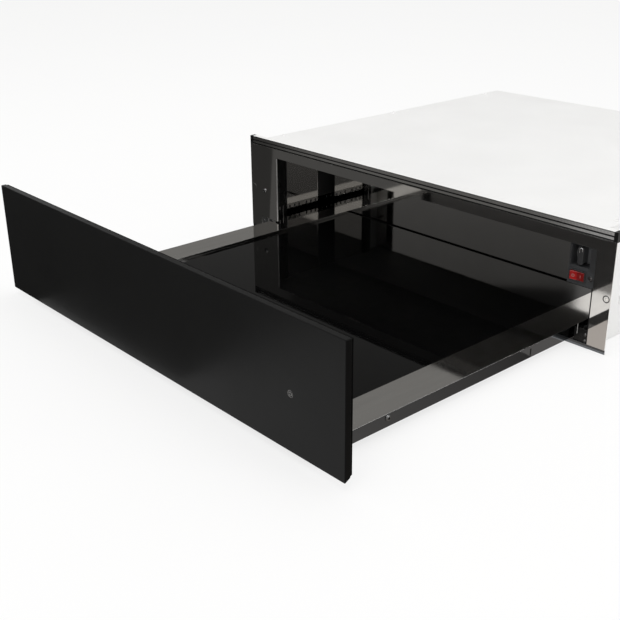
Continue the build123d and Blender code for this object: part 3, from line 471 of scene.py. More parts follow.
def lathe(bm, profile, centre, axis, steps=48, lobes=6):
    # profile rows are radius, distance along the axis, and how far the radius swells in lobes
    axis = Vector(axis).normalized()
    side = axis.orthogonal().normalized()
    up = axis.cross(side)
    rows = []
    for radius, along, swell in profile:
        if radius < 1e-7:
            rows.append([bm.verts.new(Vector(centre) + axis * along)])
            continue
        row = []
        for i in range(steps):
            angle = 2 * math.pi * i / steps
            reach = radius * (1 + swell * math.cos(lobes * angle))
            row.append(bm.verts.new(Vector(centre) + axis * along
                                    + side * reach * math.cos(angle) + up * reach * math.sin(angle)))
        rows.append(row)
    faces = []
    for first, second in zip(rows, rows[1:]):
        for i in range(steps):
            j = (i + 1) % steps
            if len(first) == 1 and len(second) == 1:
                break
            if len(first) == 1:
                faces.append(bm.faces.new((first[0], second[i], second[j])))
            elif len(second) == 1:
                faces.append(bm.faces.new((first[j], first[i], second[0])))
            else:
                faces.append(bm.faces.new((first[j], first[i], second[i], second[j])))
    bmesh.ops.recalc_face_normals(bm, faces=faces)


def linkedObject(name, bm):
    # turns what is drawn into an object of the scene
    mesh = bpy.data.meshes.new(name)
    bm.to_mesh(mesh)
    bm.free()
    made = bpy.data.objects.new(name, mesh)
    scene.collection.objects.link(made)
    return made


def keepShape(piece):
    # turns the shape that the modifiers give into plain mesh data
    bpy.context.view_layer.update()
    shaped = piece.evaluated_get(bpy.context.evaluated_depsgraph_get())
    mesh = bpy.data.meshes.new_from_object(shaped)
    piece.modifiers.clear()
    piece.data = mesh


def dropAttributes(mesh, *names):
    for name in names:
        if name in mesh.attributes:
            mesh.attributes.remove(mesh.attributes[name])


def shadeSmooth(mesh):
    mesh.polygons.foreach_set("use_smooth", [True] * len(mesh.polygons))


sharpAngle = 35  # degrees between faces at which an edge looks sharp


def settleNormals(piece, smooth):
    # weighs the normals by face area, so that flat faces beside a rounded edge still look flat
    shadeSmooth(piece.data)
    piece.data.set_sharp_from_angle(angle=math.radians(smooth))
    weighted = piece.modifiers.new("normals", "WEIGHTED_NORMAL")
    weighted.keep_sharp = True
    keepShape(piece)


def addPiece(name, bm, finish, body, replaced=(), smooth=sharpAngle):
    # pieces are drawn in millimetres and become metres here
    bmesh.ops.scale(bm, vec=(mm, mm, mm), verts=bm.verts)
    piece = linkedObject(name, bm)
    piece.data.materials.append(finishes[finish])
    settleNormals(piece, smooth)
    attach(piece, body)
    if replaced:
        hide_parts(*replaced)
    return piece


def addTurned(name, profile, place, axis, finish, body, replaced=(), steps=48, lobes=6):
    # a piece that is one turned profile
    bm = bmesh.new()
    lathe(bm, profile, place, axis, steps, lobes)
    addPiece(name, bm, finish, body, replaced)


def carve(piece, bm):
    # takes the drawn shape, in millimetres, out of a piece
    bmesh.ops.scale(bm, vec=(mm, mm, mm), verts=bm.verts)
    cutter = linkedObject("cutter", bm)
    cut = piece.modifiers.new("carve", "BOOLEAN")
    cut.operation = "DIFFERENCE"
    cut.object = cutter
    cut.solver = "EXACT"
    keepShape(piece)
    bpy.data.objects.remove(cutter)
    dropAttributes(piece.data, "custom_normal")
    settleNormals(piece, sharpAngle)


# how a frame node's sharp folds and cut edges are rounded, angles in degrees
rounding = {
    "weld": 1e-6,       # metres
    "flatAngle": 0.6,   # faces that turn less than this become one
    "edgeAngle": 38,    # edges that turn more than this are rounded
    "segments": 2,
}


def softenNode(name, finish, edge):
    # stands a copy of a frame node in its place, with its edges rounded
    bm = bmesh.new()
    bm.from_mesh(nodes[name].data)
    bmesh.ops.remove_doubles(bm, verts=bm.verts, dist=rounding["weld"])
    bmesh.ops.dissolve_limit(bm, angle_limit=math.radians(rounding["flatAngle"]), verts=bm.verts,
                             edges=bm.edges)
    piece = linkedObject(name + "_soft", bm)
    dropAttributes(piece.data, "custom_normal", "sharp_edge", "sharp_face")
    shadeSmooth(piece.data)
    bevel = piece.modifiers.new("edges", "BEVEL")
    bevel.width = edge * mm
    bevel.segments = rounding["segments"]
    bevel.limit_method = "ANGLE"
    bevel.angle_limit = math.radians(rounding["edgeAngle"])
    bevel.harden_normals = True
    keepShape(piece)
    piece.data.materials.clear()
    piece.data.materials.append(finishes[finish])
    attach(piece, body_of(nodes[name])[0])
    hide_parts(name)


# frame nodes whose edges are rounded: finish, slot, edge in millimetres, nodes
softened = (
    ("whiteEnamel", "carcass_zinc", 0.4, ("carcass_side_left", "carcass_side_right", "carcass_top",
                                          "carcass_back", "carcass_base")),
    ("ceilingSteel", "carcass_zinc", 0.4, ("cavity_ceiling",)),
    ("zincSheet", "carcass_zinc", 0.4, ("control_housing",)),
    ("zincSheet", "tray_zinc", 0.35, ("tray_pan", "tray_front_bracket", "panel_bracket_left",
                                      "panel_bracket_right")),
    ("mirrorSteel", "frame_steel", 0.35, ("front_frame",)),
    ("paintedShadeSteel", "frame_steel", 0.35, ("frame_bottom_strip",)),
    ("mirrorSteel", "rail_steel", 0.4, ("tray_back_panel",)),
    ("linerSteel", "liner_steel", 0.5, ("side_liner_front_left", "side_liner_front_right")),
    ("rearSheet", "dark_sheet", 0.5, ("side_liner_rear_left", "side_liner_rear_right",
                                      "runner_bracket_left")),
    ("darkSheet", "dark_sheet", 0.5, ("side_post_left", "side_post_right", "runner_bracket_right")),
    ("guardSteel", "dark_sheet", 0.25, ("runner_guard_left", "runner_guard_right")),
    ("capAndShadeBlack", "cap_black", 0.3, ("grille_end_caps",)),
    ("carrierBlack", "carrier_black", 0.4, ("panel_carrier",)),
    ("heatingGlass", "heating_glass", 0.7, ("glass_plate",)),
    ("sealRubber", "seal_rubber", 0.9, ("glass_seal",)),
    ("wool", "wool", 1.5, ("insulation_pad",)),
    ("runnerZinc", "runner_zinc", 0.3, ("runner_outer_left", "runner_outer_right", "runner_inner_left",
                                        "runner_inner_right")),
    ("cageSteel", "cage_steel", 0.15, ("ball_cage_left", "ball_cage_right")),
    ("controlGrey", "control_grey", 0.5, ("control_plate",)),
    ("bodyPlastic", "body_plastic", 0.6, ("thermostat_body", "latch_body", "latch_plunger",
                                          "terminal_box")),
    ("switchGrey", "switch_grey", 0.5, ("switch_housing",)),
    ("rockerRed", "rocker_red", 0.6, ("switch_rocker",)),
    ("blockWhite", "block_white", 0.4, ("terminal_block",)),
)
for finish, slot, edge, names in softened:
    for name in names:
        softenNode(name, finish, edge)

# frame nodes that keep their own mesh and only get a finish
carried = (
    ("foil", ("heater_mat", "thermal_cutout")),
    ("ballSteel", ("runner_balls_left", "runner_balls_right")),
    ("runnerZinc", ("latch_spring",)),
    ("brass", ("thermostat_shaft",)),
)
for finish, names in carried:
    for name in names:
        slots = nodes[name].data.materials
        slots.clear()
        slots.append(finishes[finish])
print("frame nodes dressed")


# front panel with its lower edge sloping up to the carrier, and a pocket for the indicator

panelShape = {
    "halfWidth": highEdge("front_panel", x),
    "front": lowEdge("front_panel", y),
    "back": highEdge("front_panel", y),
    "bottomFront": 6.8,
    "bottomBack": 10.3,
    "top": highEdge("front_panel", z),
    "edge": 0.9,
    "pocketRadius": 3.7,
    "pocketDepth": 2.5,
    "cutterOverrun": 3,      # how far the pocket's cutter stands out of the face
}
indicatorPlace = (middleOf("indicator_lens", x), panelShape["front"], middleOf("indicator_lens", z))


def makeFrontPanel(shape):
    bm = bmesh.new()
    outline = ((shape["front"], shape["bottomFront"]), (shape["back"], shape["bottomBack"]),
               (shape["back"], shape["top"]), (shape["front"], shape["top"]))
    prism(bm, outline, alongX, -shape["halfWidth"], shape["halfWidth"], shape["edge"], 4)
    panel = addPiece("frontPanel", bm, "panelBlack", "drawer", ("front_panel",))
    pocket = bmesh.new()
    radius = shape["pocketRadius"]
    depth = shape["pocketDepth"]
    above = shape["cutterOverrun"]
    lathe(pocket, ((0, -depth, 0), (radius, -depth, 0), (radius, above, 0), (0, above, 0)),
          indicatorPlace, towardsFront, 64)
    carve(panel, pocket)


# round indicator: dark well, pale ring and a plain power sign

indicatorShape = {
    "well": ((0, -1.1, 0), (2.9, -1.1, 0), (3.05, -0.9, 0), (3.6, -0.9, 0), (3.6, -2.4, 0), (0, -2.4, 0)),
    "ring": ((3.0, -1.0, 0), (3.0, -0.45, 0), (3.12, -0.28, 0), (3.4, -0.2, 0), (3.6, -0.3, 0),
             (3.66, -0.5, 0), (3.66, -1.0, 0)),
    "signBack": 0.95,        # both behind the panel's face
    "signFront": 0.55,
    "signInner": 1.35,
    "signOuter": 1.95,
    "signLinks": 26,         # its open ring is made of short links
    "signGap": 38,           # half the ring's opening, in degrees
    "barHalfWidth": 0.3,
    "barLow": 0.2,
    "barHigh": 2.1,
    "barEdge": 0.1,
    "weld": 0.001,
}


def makeIndicator(shape, place):
    across, face, height = place
    addTurned("indicatorWell", shape["well"], place, towardsFront, "knobBlack", "drawer",
              ("indicator_lens",), 64)
    addTurned("indicatorRing", shape["ring"], place, towardsFront, "indicatorPale", "drawer",
              steps=64)
    sign = bmesh.new()
    inner = shape["signInner"]
    outer = shape["signOuter"]
    back = face + shape["signBack"]
    front = face + shape["signFront"]
    gap = math.radians(shape["signGap"])
    for i in range(shape["signLinks"]):
        first = gap + (2 * math.pi - 2 * gap) * i / shape["signLinks"]
        second = gap + (2 * math.pi - 2 * gap) * (i + 1) / shape["signLinks"]
        link = [(across + r * math.sin(t), height + r * math.cos(t)) for r, t in
                ((inner, first), (outer, first), (outer, second), (inner, second))]
        prism(sign, link, alongY, back, front)
    left = across - shape["barHalfWidth"]
    right = across + shape["barHalfWidth"]
    low = height + shape["barLow"]
    high = height + shape["barHigh"]
    bar = ((left, low), (right, low), (right, high), (left, high))
    prism(sign, bar, alongY, back, front, shape["barEdge"])
    bmesh.ops.remove_doubles(sign, verts=sign.verts, dist=shape["weld"])
    addPiece("indicatorSign", sign, "indicatorPale", "drawer")


# tray rails: an inverted channel with a thin outer skirt, a slot near the rear and a dark strip behind it;
# the skirt's darker steel and the strip are painted shade

railShape = {
    "outer": highEdge("tray_rail_right", x),
    "inner": lowEdge("tray_rail_right", x),
    "low": lowEdge("tray_rail_right", z),
    "high": highEdge("tray_rail_right", z),
    "start": lowEdge("tray_rail_right", y),
    "end": highEdge("tray_rail_right", y),
    "sheet": 1.2,
    "bend": 0.1,
    "innerBend": 0.2,
    "slotY": (-339.5, -337.3),
    "slotZ": (8.0, 16.6),
    "slotEdge": 0.5,
    "slotInside": 3,         # how far the slot's cutter reaches in and out of the rail's side
    "slotOutside": 2,
    "skirt": 0.3,
    "skirtDrop": 0.02,       # the skirt ends this far under the rail's top
    "skirtEdge": 0.1,
    "slotShadeThick": 0.8,
    "slotShadeReach": 6,          # past the slot at both ends
    "slotShadeLift": 0.6,
    "slotShadeDrop": 0.3,
    "slotShadeEdge": 0.3,
}


def channelOutline(shape, outer):
    # the edge of an inverted channel seen end on
    inner = shape["inner"]
    low = shape["low"]
    high = shape["high"]
    sheet = shape["sheet"]
    outside = bentLine(((outer, low), (outer, high), (inner, high), (inner, low)), shape["bend"])
    inside = bentLine(((outer - sheet, low), (outer - sheet, high - sheet), (inner + sheet, high - sheet),
                       (inner + sheet, low)), shape["innerBend"], 2)
    return [tuple(p) for p in outside] + [tuple(p) for p in reversed(inside)]


def makeRail(shape, side, name):
    outer = shape["outer"] - shape["skirt"]
    bm = bmesh.new()
    prism(bm, [(side * u, v) for u, v in channelOutline(shape, outer)], alongY, shape["start"], shape["end"])
    rail = addPiece("rail" + name, bm, "railSteel", "drawer", ("tray_rail_" + name.lower(),))
    # the outer skirt, a separate thin sheet in darker steel: painted shade
    cover = bmesh.new()
    sideBlock(cover, side, (outer, shape["start"], shape["low"]),
              (shape["outer"], shape["end"], shape["high"] - shape["skirtDrop"]), shape["skirtEdge"], 2)
    skirt = addPiece("railSkirt" + name, cover, "paintedShadeSteel", "drawer")
    slotStart, slotEnd = shape["slotY"]
    slotLow, slotHigh = shape["slotZ"]
    for piece in (rail, skirt):
        slot = bmesh.new()
        sideBlock(slot, side, (shape["outer"] - shape["slotInside"], slotStart, slotLow),
                  (shape["outer"] + shape["slotOutside"], slotEnd, slotHigh), shape["slotEdge"])
        carve(piece, slot)
    # a dark strip behind the slot: painted shade
    paintedSlotShade = bmesh.new()
    inside = outer - shape["sheet"]
    low = shape["low"] + shape["slotShadeLift"]
    high = shape["high"] - shape["sheet"] - shape["slotShadeDrop"]
    sideBlock(paintedSlotShade, side, (inside - shape["slotShadeThick"], slotStart - shape["slotShadeReach"], low),
              (inside, slotEnd + shape["slotShadeReach"], high), shape["slotShadeEdge"])
    addPiece("railSlotShade" + name, paintedSlotShade, "capAndShadeBlack", "drawer")


# louvred grille: leaning slats over dark strips of painted shade behind their gaps, a thin front lip and a
# pale top

grilleShape = {
    "halfWidth": highEdge("vent_grille", x),
    "front": lowEdge("vent_grille", y),
    "back": highEdge("vent_grille", y),
    "low": lowEdge("vent_grille", z),
    "high": highEdge("vent_grille", z),
    "lid": 134.7,
    "slats": ((128.4, 131.0), (132.9, 136.3)),
    "slatStart": 0.1,        # behind the front
    "slatEdge": 0.08,
    "lean": 20.6,            # degrees
    "sheet": 0.3,
    "footDepth": 3.0,
    "footHigh": 0.7,
    "lip": 0.8,
    "edge": 0.2,
    "shadeStart": 1.3,       # behind the front
    "shadeThick": 0.18,
    "shades": ((126.8, 128.7), (130.6, 133.2)),
    "shadeEdge": 0.05,
    "topThick": 0.65,
    "topDrop": 0.05,         # the pale top lies this far under the lip
    "flangeThick": 0.6,      # its flange down to the lid
    "flangeDrop": 0.4,
}


def makeGrille(shape):
    front = shape["front"]
    back = shape["back"]
    low = shape["low"]
    high = shape["high"]
    half = shape["halfWidth"]
    lip = shape["lip"]
    edge = shape["edge"]
    bm = bmesh.new()
    start = front + shape["slatStart"]
    for slatLow, slatHigh in shape["slats"]:
        lean = (slatHigh - slatLow) * math.tan(math.radians(shape["lean"]))
        outline = ((start, slatLow), (start + lean, slatHigh), (start + lean + shape["sheet"], slatHigh),
                   (start + shape["sheet"], slatLow))
        prism(bm, outline, alongX, -half, half, shape["slatEdge"])
    roundedBlock(bm, (-half, front, low), (half, front + shape["footDepth"], low + shape["footHigh"]), edge)
    roundedBlock(bm, (-half, front, high - lip), (half, front + lip, high), edge)
    addPiece("grilleSlats", bm, "grilleSteel", "carcass", ("vent_grille",))
    dark = bmesh.new()
    shadeFront = front + shape["shadeStart"]
    shadeBack = shadeFront + shape["shadeThick"]
    for shadeLow, shadeHigh in shape["shades"]:
        # a dark strip behind the gap under each slat: painted shade
        roundedBlock(dark, (-half, shadeFront, shadeLow), (half, shadeBack, shadeHigh), shape["shadeEdge"])
    addPiece("grillePaintedShade", dark, "capAndShadeBlack", "carcass")
    top = bmesh.new()
    topHigh = high - shape["topDrop"]
    roundedBlock(top, (-half, front + lip, topHigh - shape["topThick"]), (half, back, topHigh), edge)
    roundedBlock(top, (-half, back - shape["flangeThick"], shape["lid"]),
                 (half, back, high - shape["flangeDrop"]), edge)
    addPiece("grilleTop", top, "whiteEnamel", "carcass")


# flush screws in the frame's fixing holes: the right one shows its drive and a dark ring of painted shade
# round its head, the left one lies under a plain flush cap

fixingShape = {
    "across": 292.4,
    "height": 63.4,
    "screw": ((0, -1.2, 0), (0.9, -1.2, 0.12), (1.0, -0.03, 0.12), (1.1, 0.0, 0), (3.0, 0.0, 0),
              (3.1, -0.1, 0), (3.1, -0.45, 0), (2.2, -0.45, 0), (2.2, -4.0, 0), (0, -4.6, 0)),
    "cap": ((0, 0.05, 0), (4.55, 0.05, 0), (4.6, 0.01, 0), (4.0, -0.3, 0), (2.2, -0.45, 0),
            (2.2, -4.0, 0), (0, -4.6, 0)),
    "ring": ((3.15, -0.45, 0), (3.2, -0.15, 0), (4.0, -0.08, 0), (4.1, -0.25, 0), (4.1, -0.48, 0)),
}


def makeFixingScrews(shape):
    right = (shape["across"], frameFront, shape["height"])
    left = (-shape["across"], frameFront, shape["height"])
    bm = bmesh.new()
    lathe(bm, shape["screw"], right, towardsFront)
    lathe(bm, shape["cap"], left, towardsFront)
    addPiece("fixingScrews", bm, "mirrorSteel", "carcass", smooth=15)
    addTurned("fixingGapShade", shape["ring"], right, towardsFront, "capAndShadeBlack", "carcass")


# screws: dome heads with a six-lobed drive

domeShape = {
    "driveDepth": 0.42,      # shares of the head's radius
    "driveRadius": 0.36,
    "lobes": 0.16,
    "shank": 0.5,
    "tip": 0.5,              # millimetres past the shank
}


def domeScrew(bm, place, axis, radius, height, shank):
    floor = height - radius * domeShape["driveDepth"]
    lobes = domeShape["lobes"]
    thin = radius * domeShape["shank"]
    rows = [(0, floor, 0), (radius * domeShape["driveRadius"], floor, lobes),
            (radius * 0.40, height * 0.97, lobes), (radius * 0.46, height, 0.05),
            (radius * 0.62, height * 0.93, 0), (radius * 0.78, height * 0.78, 0),
            (radius * 0.90, height * 0.55, 0), (radius * 0.97, height * 0.28, 0),
            (radius, 0.08, 0), (radius * 0.98, 0, 0), (thin, 0, 0), (thin, -shank, 0),
            (0, -shank - domeShape["tip"], 0)]
    lathe(bm, rows, place, axis)


# where the screws of each group stand, where their heads point, and their radius, height and shank
screwGroups = {
    "frame": {
        "across": (-267.6,), "along": (frameFront,), "height": (61.9,),
        "axis": towardsFront, "size": (3.2, 1.8, 5.0)},
    "bracket": {
        "across": (-272, 272), "along": (frameBack,), "height": (8.6, 15.6),
        "axis": towardsFront, "size": (1.9, 1.0, 4.5)},
    "lid": {
        "across": (-271.6, 271.6), "along": (-227, 0, 227), "height": (highEdge("carcass_top", z),),
        "axis": upwards, "size": (3.2, 1.8, 5.0)},
    "rail": {
        "across": (-railShape["outer"], railShape["outer"]), "along": (-551.4,), "height": (15.6,),
        "axis": "outwards", "size": (3.2, 1.8, 4.5)},
    "panel": {
        "across": (-246.8, -220.8, 220.8, 246.8), "along": (-634.1,), "height": (15.0,),
        "axis": towardsBack, "size": (2.6, 1.2, 4.5)},
}


def makeScrews(name, groups, finish, body, node):
    bm = bmesh.new()
    for group in groups:
        look = screwGroups[group]
        for place in product(look["across"], look["along"], look["height"]):
            axis = (place[0], 0, 0) if look["axis"] == "outwards" else look["axis"]
            domeScrew(bm, place, axis, *look["size"])
    addPiece(name, bm, finish, body, (node,))


# rubber bumpers behind the panel

bumperShape = {
    "across": (-286, 286),
    "heights": (24.0, 119.7),
    "profile": ((0, 3.2, 0), (1.6, 3.1, 0), (2.8, 2.6, 0), (3.6, 1.7, 0), (4.0, 0.6, 0), (4.0, 0, 0),
                (0, 0, 0)),
}


def makeBumpers(shape):
    bm = bmesh.new()
    for across in shape["across"]:
        for height in shape["heights"]:
            lathe(bm, shape["profile"], (across, carrierBack, height), towardsBack, 40)
    addPiece("bumpers", bm, "sealRubber", "drawer", ("panel_bumpers",))


# brushed sheet that closes the inside of the panel, held by small rivets

coverShape = {
    "halfWidth": 274.0,
    "low": 22.5,
    "high": 132.0,
    "thick": 0.7,
    "corner": 5.0,
    "rivetsAcross": (-262, -90, 90, 262),
    "rivetHeights": (30.0, 124.5),
    "rivet": ((0, 0.9, 0), (1.2, 0.85, 0), (2.0, 0.5, 0), (2.3, 0.1, 0), (2.3, -0.2, 0)),
}


def makeInnerCover(shape):
    middle = (shape["high"] + shape["low"]) / 2
    flat = roundedOutline(shape["halfWidth"], (shape["high"] - shape["low"]) / 2, shape["corner"])
    bm = bmesh.new()
    face = carrierBack + shape["thick"]
    prism(bm, [(u, middle + v) for u, v in flat], alongY, carrierBack, face)
    for across in shape["rivetsAcross"]:
        for height in shape["rivetHeights"]:
            lathe(bm, shape["rivet"], (across, face, height), towardsBack, 28)
    addPiece("innerCover", bm, "coverSteel", "drawer")


# thermostat knob: disc, waisted grip and a bright hoop on its end

knobShape = {
    "centre": (middleOf("thermostat_knob", x), middleOf("thermostat_knob", z)),
    "back": highEdge("thermostat_knob", y),
    "discFront": -257.8,
    "front": -266.4,
    "radius": 10.8,
    "frontInset": 1.2,       # where the disc's flat front ends, inside its radius
    "shoulderInset": 0.4,
    "shoulderDrop": 0.25,
    "backInset": 0.3,
    "ribs": 24,
    "ribDepth": 0.004,       # a share of the radius
    "ribStart": 0.4,         # from the disc's back
    "ribEnd": 0.9,           # from its front
    "gripWidth": 7.6,
    "gripHeight": 20.4,
    "gripCorner": 2.4,
    "gripRoot": ((0.3, 1.0), (-2.5, 0.90)),     # place along Y from the disc, share of the width
    "gripEnd": ((3, 0.86), (0.8, 0.88), (0.2, 0.84), (0, 0.76)),    # the same from the grip's end
    "hoopRadius": 1.7,
    "hoopWire": 0.5,
    "hoopSteps": 8,
    "hoopSunk": 0.05,        # its wire's middle behind the grip's end
    "hoopLow": (3.6, 5.2),   # where its two legs end above the centre
    "hoopHigh": 7.4,
}


def makeKnobDisc(shape):
    across, height = shape["centre"]
    thick = shape["back"] - shape["discFront"]
    r = shape["radius"]
    rib = shape["ribDepth"]
    profile = ((0, thick, 0), (r - shape["frontInset"], thick, 0),
               (r - shape["shoulderInset"], thick - shape["shoulderDrop"], 0),
               (r, thick - shape["ribEnd"], rib), (r, shape["ribStart"], rib),
               (r - shape["backInset"], 0, 0), (0, 0, 0))
    addTurned("knobDisc", profile, (across, shape["back"], height), towardsFront, "paintedLightDiscGrey", "knob",
              ("thermostat_knob",), 96, shape["ribs"])


def makeKnobGrip(shape):
    across, height = shape["centre"]
    side = roundedOutline(shape["gripWidth"] / 2, shape["gripHeight"] / 2, shape["gripCorner"])
    grip = bmesh.new()
    rings = []
    for start, stations in ((shape["discFront"], shape["gripRoot"]), (shape["front"], shape["gripEnd"])):
        for shift, k in stations:
            # k narrows the grip, half as much in height
            rings.append([grip.verts.new((across + u * k, start + shift, height + v * (0.5 + 0.5 * k)))
                          for u, v in side])
    count = len(side)
    for first, second in zip(rings, rings[1:]):
        for i in range(count):
            j = (i + 1) % count
            grip.faces.new((first[i], first[j], second[j], second[i]))
    grip.faces.new(list(reversed(rings[-1])))
    grip.faces.new(rings[0])
    bmesh.ops.recalc_face_normals(grip, faces=grip.faces)
    addPiece("knobGrip", grip, "knobBlack", "knob", smooth=50)


def makeKnobHoop(shape):
    across, height = shape["centre"]
    r = shape["hoopRadius"]
    high = shape["hoopHigh"]
    left, right = shape["hoopLow"]
    path = [(-r, left), (-r, high)]
    for i in range(1, shape["hoopSteps"]):
        turn = 180 / shape["hoopSteps"] * i
        path.append((r * math.cos(math.radians(180 - turn)), high + r * math.sin(math.radians(turn))))
    path += [(r, high), (r, right)]
    hoop = bmesh.new()
    place = shape["front"] + shape["hoopSunk"]
    tube(hoop, [Vector((across + u, place, height + v)) for u, v in path], shape["hoopWire"])
    addPiece("knobHoop", hoop, "screwSteel", "knob", smooth=60)


# printed I and 0 on the two faces of the rocker, and the pilot lamp beside it

switchShape = {
    "height": middleOf("switch_rocker", z),
    "offFace": ((246.95, -269.15), (255.19, -267.68)),
    "onFace": ((255.19, -267.68), (263.56, -267.41)),
    "barHalfWidth": 0.35,
    "barHalfHeight": 1.7,
    "print": (-0.2, 0.06),   # from inside the face to just above it
    "printEdge": 0.05,
    "zero": ((1.05, -0.2, 0), (1.05, 0.05, 0), (1.2, 0.07, 0), (1.6, 0.07, 0), (1.75, 0.05, 0),
             (1.75, -0.2, 0)),
}


def faceFrame(start, end, height):
    # the directions along and out of one face of the rocker, and its middle
    along = Vector((end[0] - start[0], end[1] - start[1], 0)).normalized()
    out = Vector((along.y, -along.x, 0))
    middle = Vector(((start[0] + end[0]) / 2, (start[1] + end[1]) / 2, height))
    return along, out, middle


def makeSwitchMarks(shape):
    bm = bmesh.new()
    along, out, middle = faceFrame(*shape["onFace"], shape["height"])
    wide = shape["barHalfWidth"]
    tall = shape["barHalfHeight"]
    prism(bm, ((-wide, -tall), (wide, -tall), (wide, tall), (-wide, tall)),
          lambda u, v, w: middle + along * u + Vector((0, 0, v)) + out * w, *shape["print"],
          shape["printEdge"])
    zeroOut, zeroMiddle = faceFrame(*shape["offFace"], shape["height"])[1:]
    lathe(bm, shape["zero"], zeroMiddle, zeroOut, 40)
    addPiece("switchMarks", bm, "printWhite", "rocker")


lampShape = {
    "centre": (middleOf("pilot_lamp", x), frameBack, middleOf("pilot_lamp", z)),
    "ring": ((2.5, -1.0, 0), (2.5, 0.5, 0), (2.75, 0.75, 0), (3.1, 0.75, 0), (3.4, 0.35, 0),
             (3.4, -0.1, 0), (3.0, -0.1, 0), (3.0, -9.0, 0), (0, -9.0, 0)),
    "lens": ((0, 0.72, 0), (0.8, 0.66, 0), (1.6, 0.45, 0), (2.2, 0.1, 0), (2.5, -0.3, 0), (2.5, -0.9, 0)),
}


def makePilotLamp(shape):
    place = shape["centre"]
    addTurned("pilotRing", shape["ring"], place, towardsFront, "switchGrey", "carcass",
              ("pilot_lamp",))
    addTurned("pilotLens", shape["lens"], place, towardsFront, "lampLens", "carcass")


# trims: margins beside the knob, a pale strip of painted highlight on the opening's edge and a dark strip of
# painted shade in the opening.
# Each block is its lowest corner, its highest corner and the radius of its edges

trims = {
    "controlMargin": (
        ((268.6, -266.0, 87.4), (276.0, -265.4, 114.0), 0.25),
        ((243.2, -266.0, 87.4), (244.6, -265.4, 114.0), 0.25)),
    # painted highlight: a pale strip along the opening's left edge
    "openingHighlight": (
        ((-241.5, -267.12, 22.0), (-240.25, frameBack, 52.0), 0.3),
        ((-240.95, -267.05, 52.0), (-240.25, frameBack, 113.0), 0.2)),
    # painted shade: a dark strip inside the opening's right edge
    "openingPaintedShade": (((273.2, frameBack, 22.0), (276.4, -264.7, 68.5), 0.15),),
}

# pale strips of painted highlight on the posts and runner brackets, drawn for the right side and repeated on
# the left
highlightStrips = (
    ((265.55, -235.4, 2.0), (266.15, -234.7, 33.0), 0.2),
    ((265.55, -241.5, 9.0), (266.15, -240.7, 14.0), 0.2),
    ((265.55, -241.5, 27.5), (266.15, -240.7, 32.5), 0.2),
    ((261.6, -266.1, 14.0), (262.2, frameBack, 26.0), 0.2),
)


def makeTrim(name, finish):
    bm = bmesh.new()
    for low, high, radius in trims[name]:
        roundedBlock(bm, low, high, radius)
    addPiece(name, bm, finish, "carcass")


def makeHighlightStrips():
    bm = bmesh.new()
    for side in (-1, 1):
        for low, high, radius in highlightStrips:
            sideBlock(bm, side, low, high, radius)
    addPiece("postHighlightStrips", bm, "paintedHighlightSatin", "carcass")


# cable gland in the back: flange nut, ribbed cap and a rubber throat

glandShape = {
    "centre": (middleOf("cable_gland", x), highEdge("carcass_back", y), middleOf("cable_gland", z)),
    "nut": ((5.4, 0, 0), (8.4, 0, 0), (8.9, 0.5, 0), (8.9, 3.6, 0), (8.3, 4.2, 0), (5.4, 4.2, 0)),
    "cap": ((6.9, 4.2, 0), (7.3, 4.6, 0.03), (7.3, 9.2, 0.03), (6.6, 10.6, 0.01), (5.2, 11.6, 0),
            (3.9, 12.0, 0), (3.5, 11.7, 0), (3.5, 4.2, 0)),
    "capRibs": 18,
    "thread": ((6.2, 0, 0), (6.2, -1.2, 0), (6.5, -1.6, 0), (6.2, -2.0, 0), (6.2, -2.6, 0),
               (6.5, -3.0, 0), (6.2, -3.4, 0), (6.2, -7.9, 0), (3.5, -7.9, 0)),
    "throat": ((0, 10.6, 0), (2.4, 10.7, 0), (3.0, 11.2, 0), (3.5, 11.3, 0), (3.5, 9.0, 0)),
}


def makeGland(shape):
    place = shape["centre"]
    bm = bmesh.new()
    lathe(bm, shape["nut"], place, towardsBack, 6)
    lathe(bm, shape["cap"], place, towardsBack, 72, shape["capRibs"])
    lathe(bm, shape["thread"], place, towardsBack)
    addPiece("cableGland", bm, "bodyPlastic", "carcass", ("cable_gland",))
    addTurned("glandThroat", shape["throat"], place, towardsBack, "sealRubber", "carcass",
              steps=36)


# long shallow pressings that stiffen the sides

pressingShape = {
    "inner": 277.2,
    "outer": 278.5,
    "halfLength": 215,
    "heights": (44.0, 92.0),
    "halfHeight": 5,
    "edge": 0.9,
}


def makePressings(shape):
    bm = bmesh.new()
    long = shape["halfLength"]
    tall = shape["halfHeight"]
    for side in (-1, 1):
        for height in shape["heights"]:
            sideBlock(bm, side, (shape["inner"], -long, height - tall),
                      (shape["outer"], long, height + tall), shape["edge"], 4)
    addPiece("sidePressings", bm, "whiteEnamel", "carcass")


makeFrontPanel(panelShape)
makeIndicator(indicatorShape, indicatorPlace)
makeInnerCover(coverShape)
makeBumpers(bumperShape)
print("panel, indicator and bumpers made")
makeRail(railShape, 1, "Right")
makeRail(railShape, -1, "Left")
makeScrews("railScrews", ("rail", "panel"), "screwDark", "drawer", "drawer_screws")
makeScrews("frameScrews", ("frame", "bracket"), "screwDark", "carcass", "carcass_screws")
makeFixingScrews(fixingShape)
makeGrille(grilleShape)
makeScrews("lidScrews", ("lid",), "whiteEnamel", "carcass", "carcass_screws")
print("rails, screws and grille made")
makeKnobDisc(knobShape)
makeKnobGrip(knobShape)
makeKnobHoop(knobShape)
makeSwitchMarks(switchShape)
makePilotLamp(lampShape)
makeTrim("controlMargin", "switchGrey")
makeTrim("openingHighlight", "paintedHighlightSatin")
makeTrim("openingPaintedShade", "capAndShadeBlack")
makeHighlightStrips()
makeGland(glandShape)
makePressings(pressingShape)
print("controls and fittings made")


# stage: floor, cards, lamps, world and camera, all in metres

